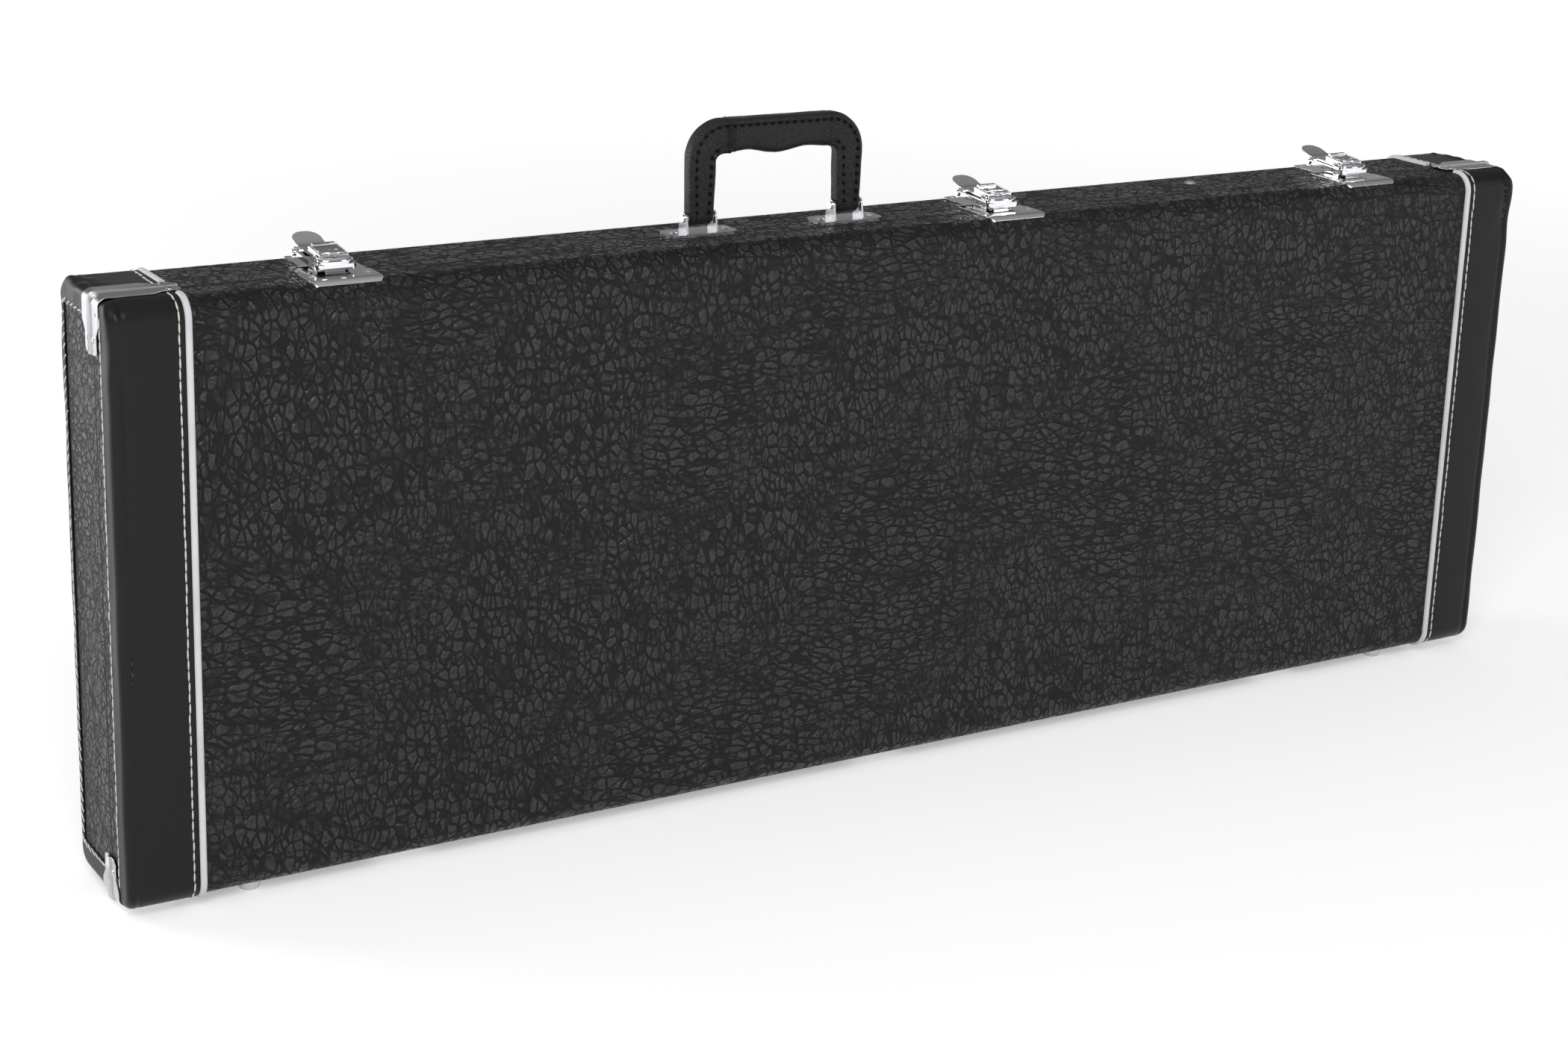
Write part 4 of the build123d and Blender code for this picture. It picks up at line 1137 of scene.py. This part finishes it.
world = bpy.data.worlds.new("studio")
bpy.context.scene.world = world
world.use_nodes = True
tree = world.node_tree
background = tree.nodes["Background"]
around = add_node(tree, "ShaderNodeTexCoord").outputs["Generated"]
height = add_node(tree, "ShaderNodeSeparateXYZ", Vector=around).outputs["Z"]
half_turn = combine(tree, "MULTIPLY", combine(tree, "ADD", height, 1.0), 0.5)
levels = grey_ramp(tree, half_turn, surround_levels, blue=1.01)
seen, mirrored = seen_ray(tree)
near_horizon = remap(tree, height, 0.01, 0.12, 1.0, 0.0)
shown = combine(tree, "MAXIMUM", seen, combine(tree, "MULTIPLY", mirrored, near_horizon))
backdrop = add_node(tree, "ShaderNodeMix", {"data_type": "RGBA"}, shown)
backdrop.inputs[7].default_value = (1.0, 1.0, 1.0, 1.0)
tree.links.new(levels, backdrop.inputs[6])
feed(tree, background, Color=backdrop.outputs[2], Strength=1.0)


def soft_lamp(name, place, size, power):
    """Square lamp aimed at the middle of the case."""
    lamp = bpy.data.lights.new(name, "AREA")
    lamp.size = size
    lamp.energy = power
    holder = linked_object(name, lamp)
    holder.location = place
    holder.visible_camera = False
    holder.rotation_mode = "QUATERNION"
    aim = Vector((0.0, 0.0, 0.2)) - Vector(place)
    holder.rotation_quaternion = aim.to_track_quat("-Z", "Y")


soft_lamp("upper left lamp", (-1.5, -2.1, 2.1), 1.4, 48)
soft_lamp("right lamp", (1.9, -2.3, 1.5), 1.0, 14)
soft_lamp("low back lamp", (-1.9, 1.7, 0.75), 1.1, 23)

# Camera. It stands to the left of the lid face and a little above the case, with a slight roll,
# as the photo was taken.
azimuth, elevation, roll = (math.radians(angle) for angle in (-31.4985, 15.943, 1.8541))
camera_place = Vector((-0.9969, -1.5188, box_bottom + 0.7376))
camera_data = bpy.data.cameras.new("camera")
camera_data.sensor_width = 36.0
camera_data.lens = 64.89
camera_data.shift_y = -0.06
camera = linked_object("camera", camera_data)
backward = Vector((
    math.sin(azimuth) * math.cos(elevation), -math.cos(azimuth) * math.cos(elevation),
    math.sin(elevation),
))
right = (-backward).cross(Vector((0, 0, 1))).normalized()
upward = backward.cross(right)
turned_right = right * math.cos(roll) + upward * math.sin(roll)
turned_up = upward * math.cos(roll) - right * math.sin(roll)
camera.matrix_world = Matrix((
    (turned_right.x, turned_up.x, backward.x, camera_place.x),
    (turned_right.y, turned_up.y, backward.y, camera_place.y),
    (turned_right.z, turned_up.z, backward.z, camera_place.z),
    (0, 0, 0, 1),
))
bpy.context.scene.camera = camera
bpy.context.scene.view_settings.view_transform = "Standard"
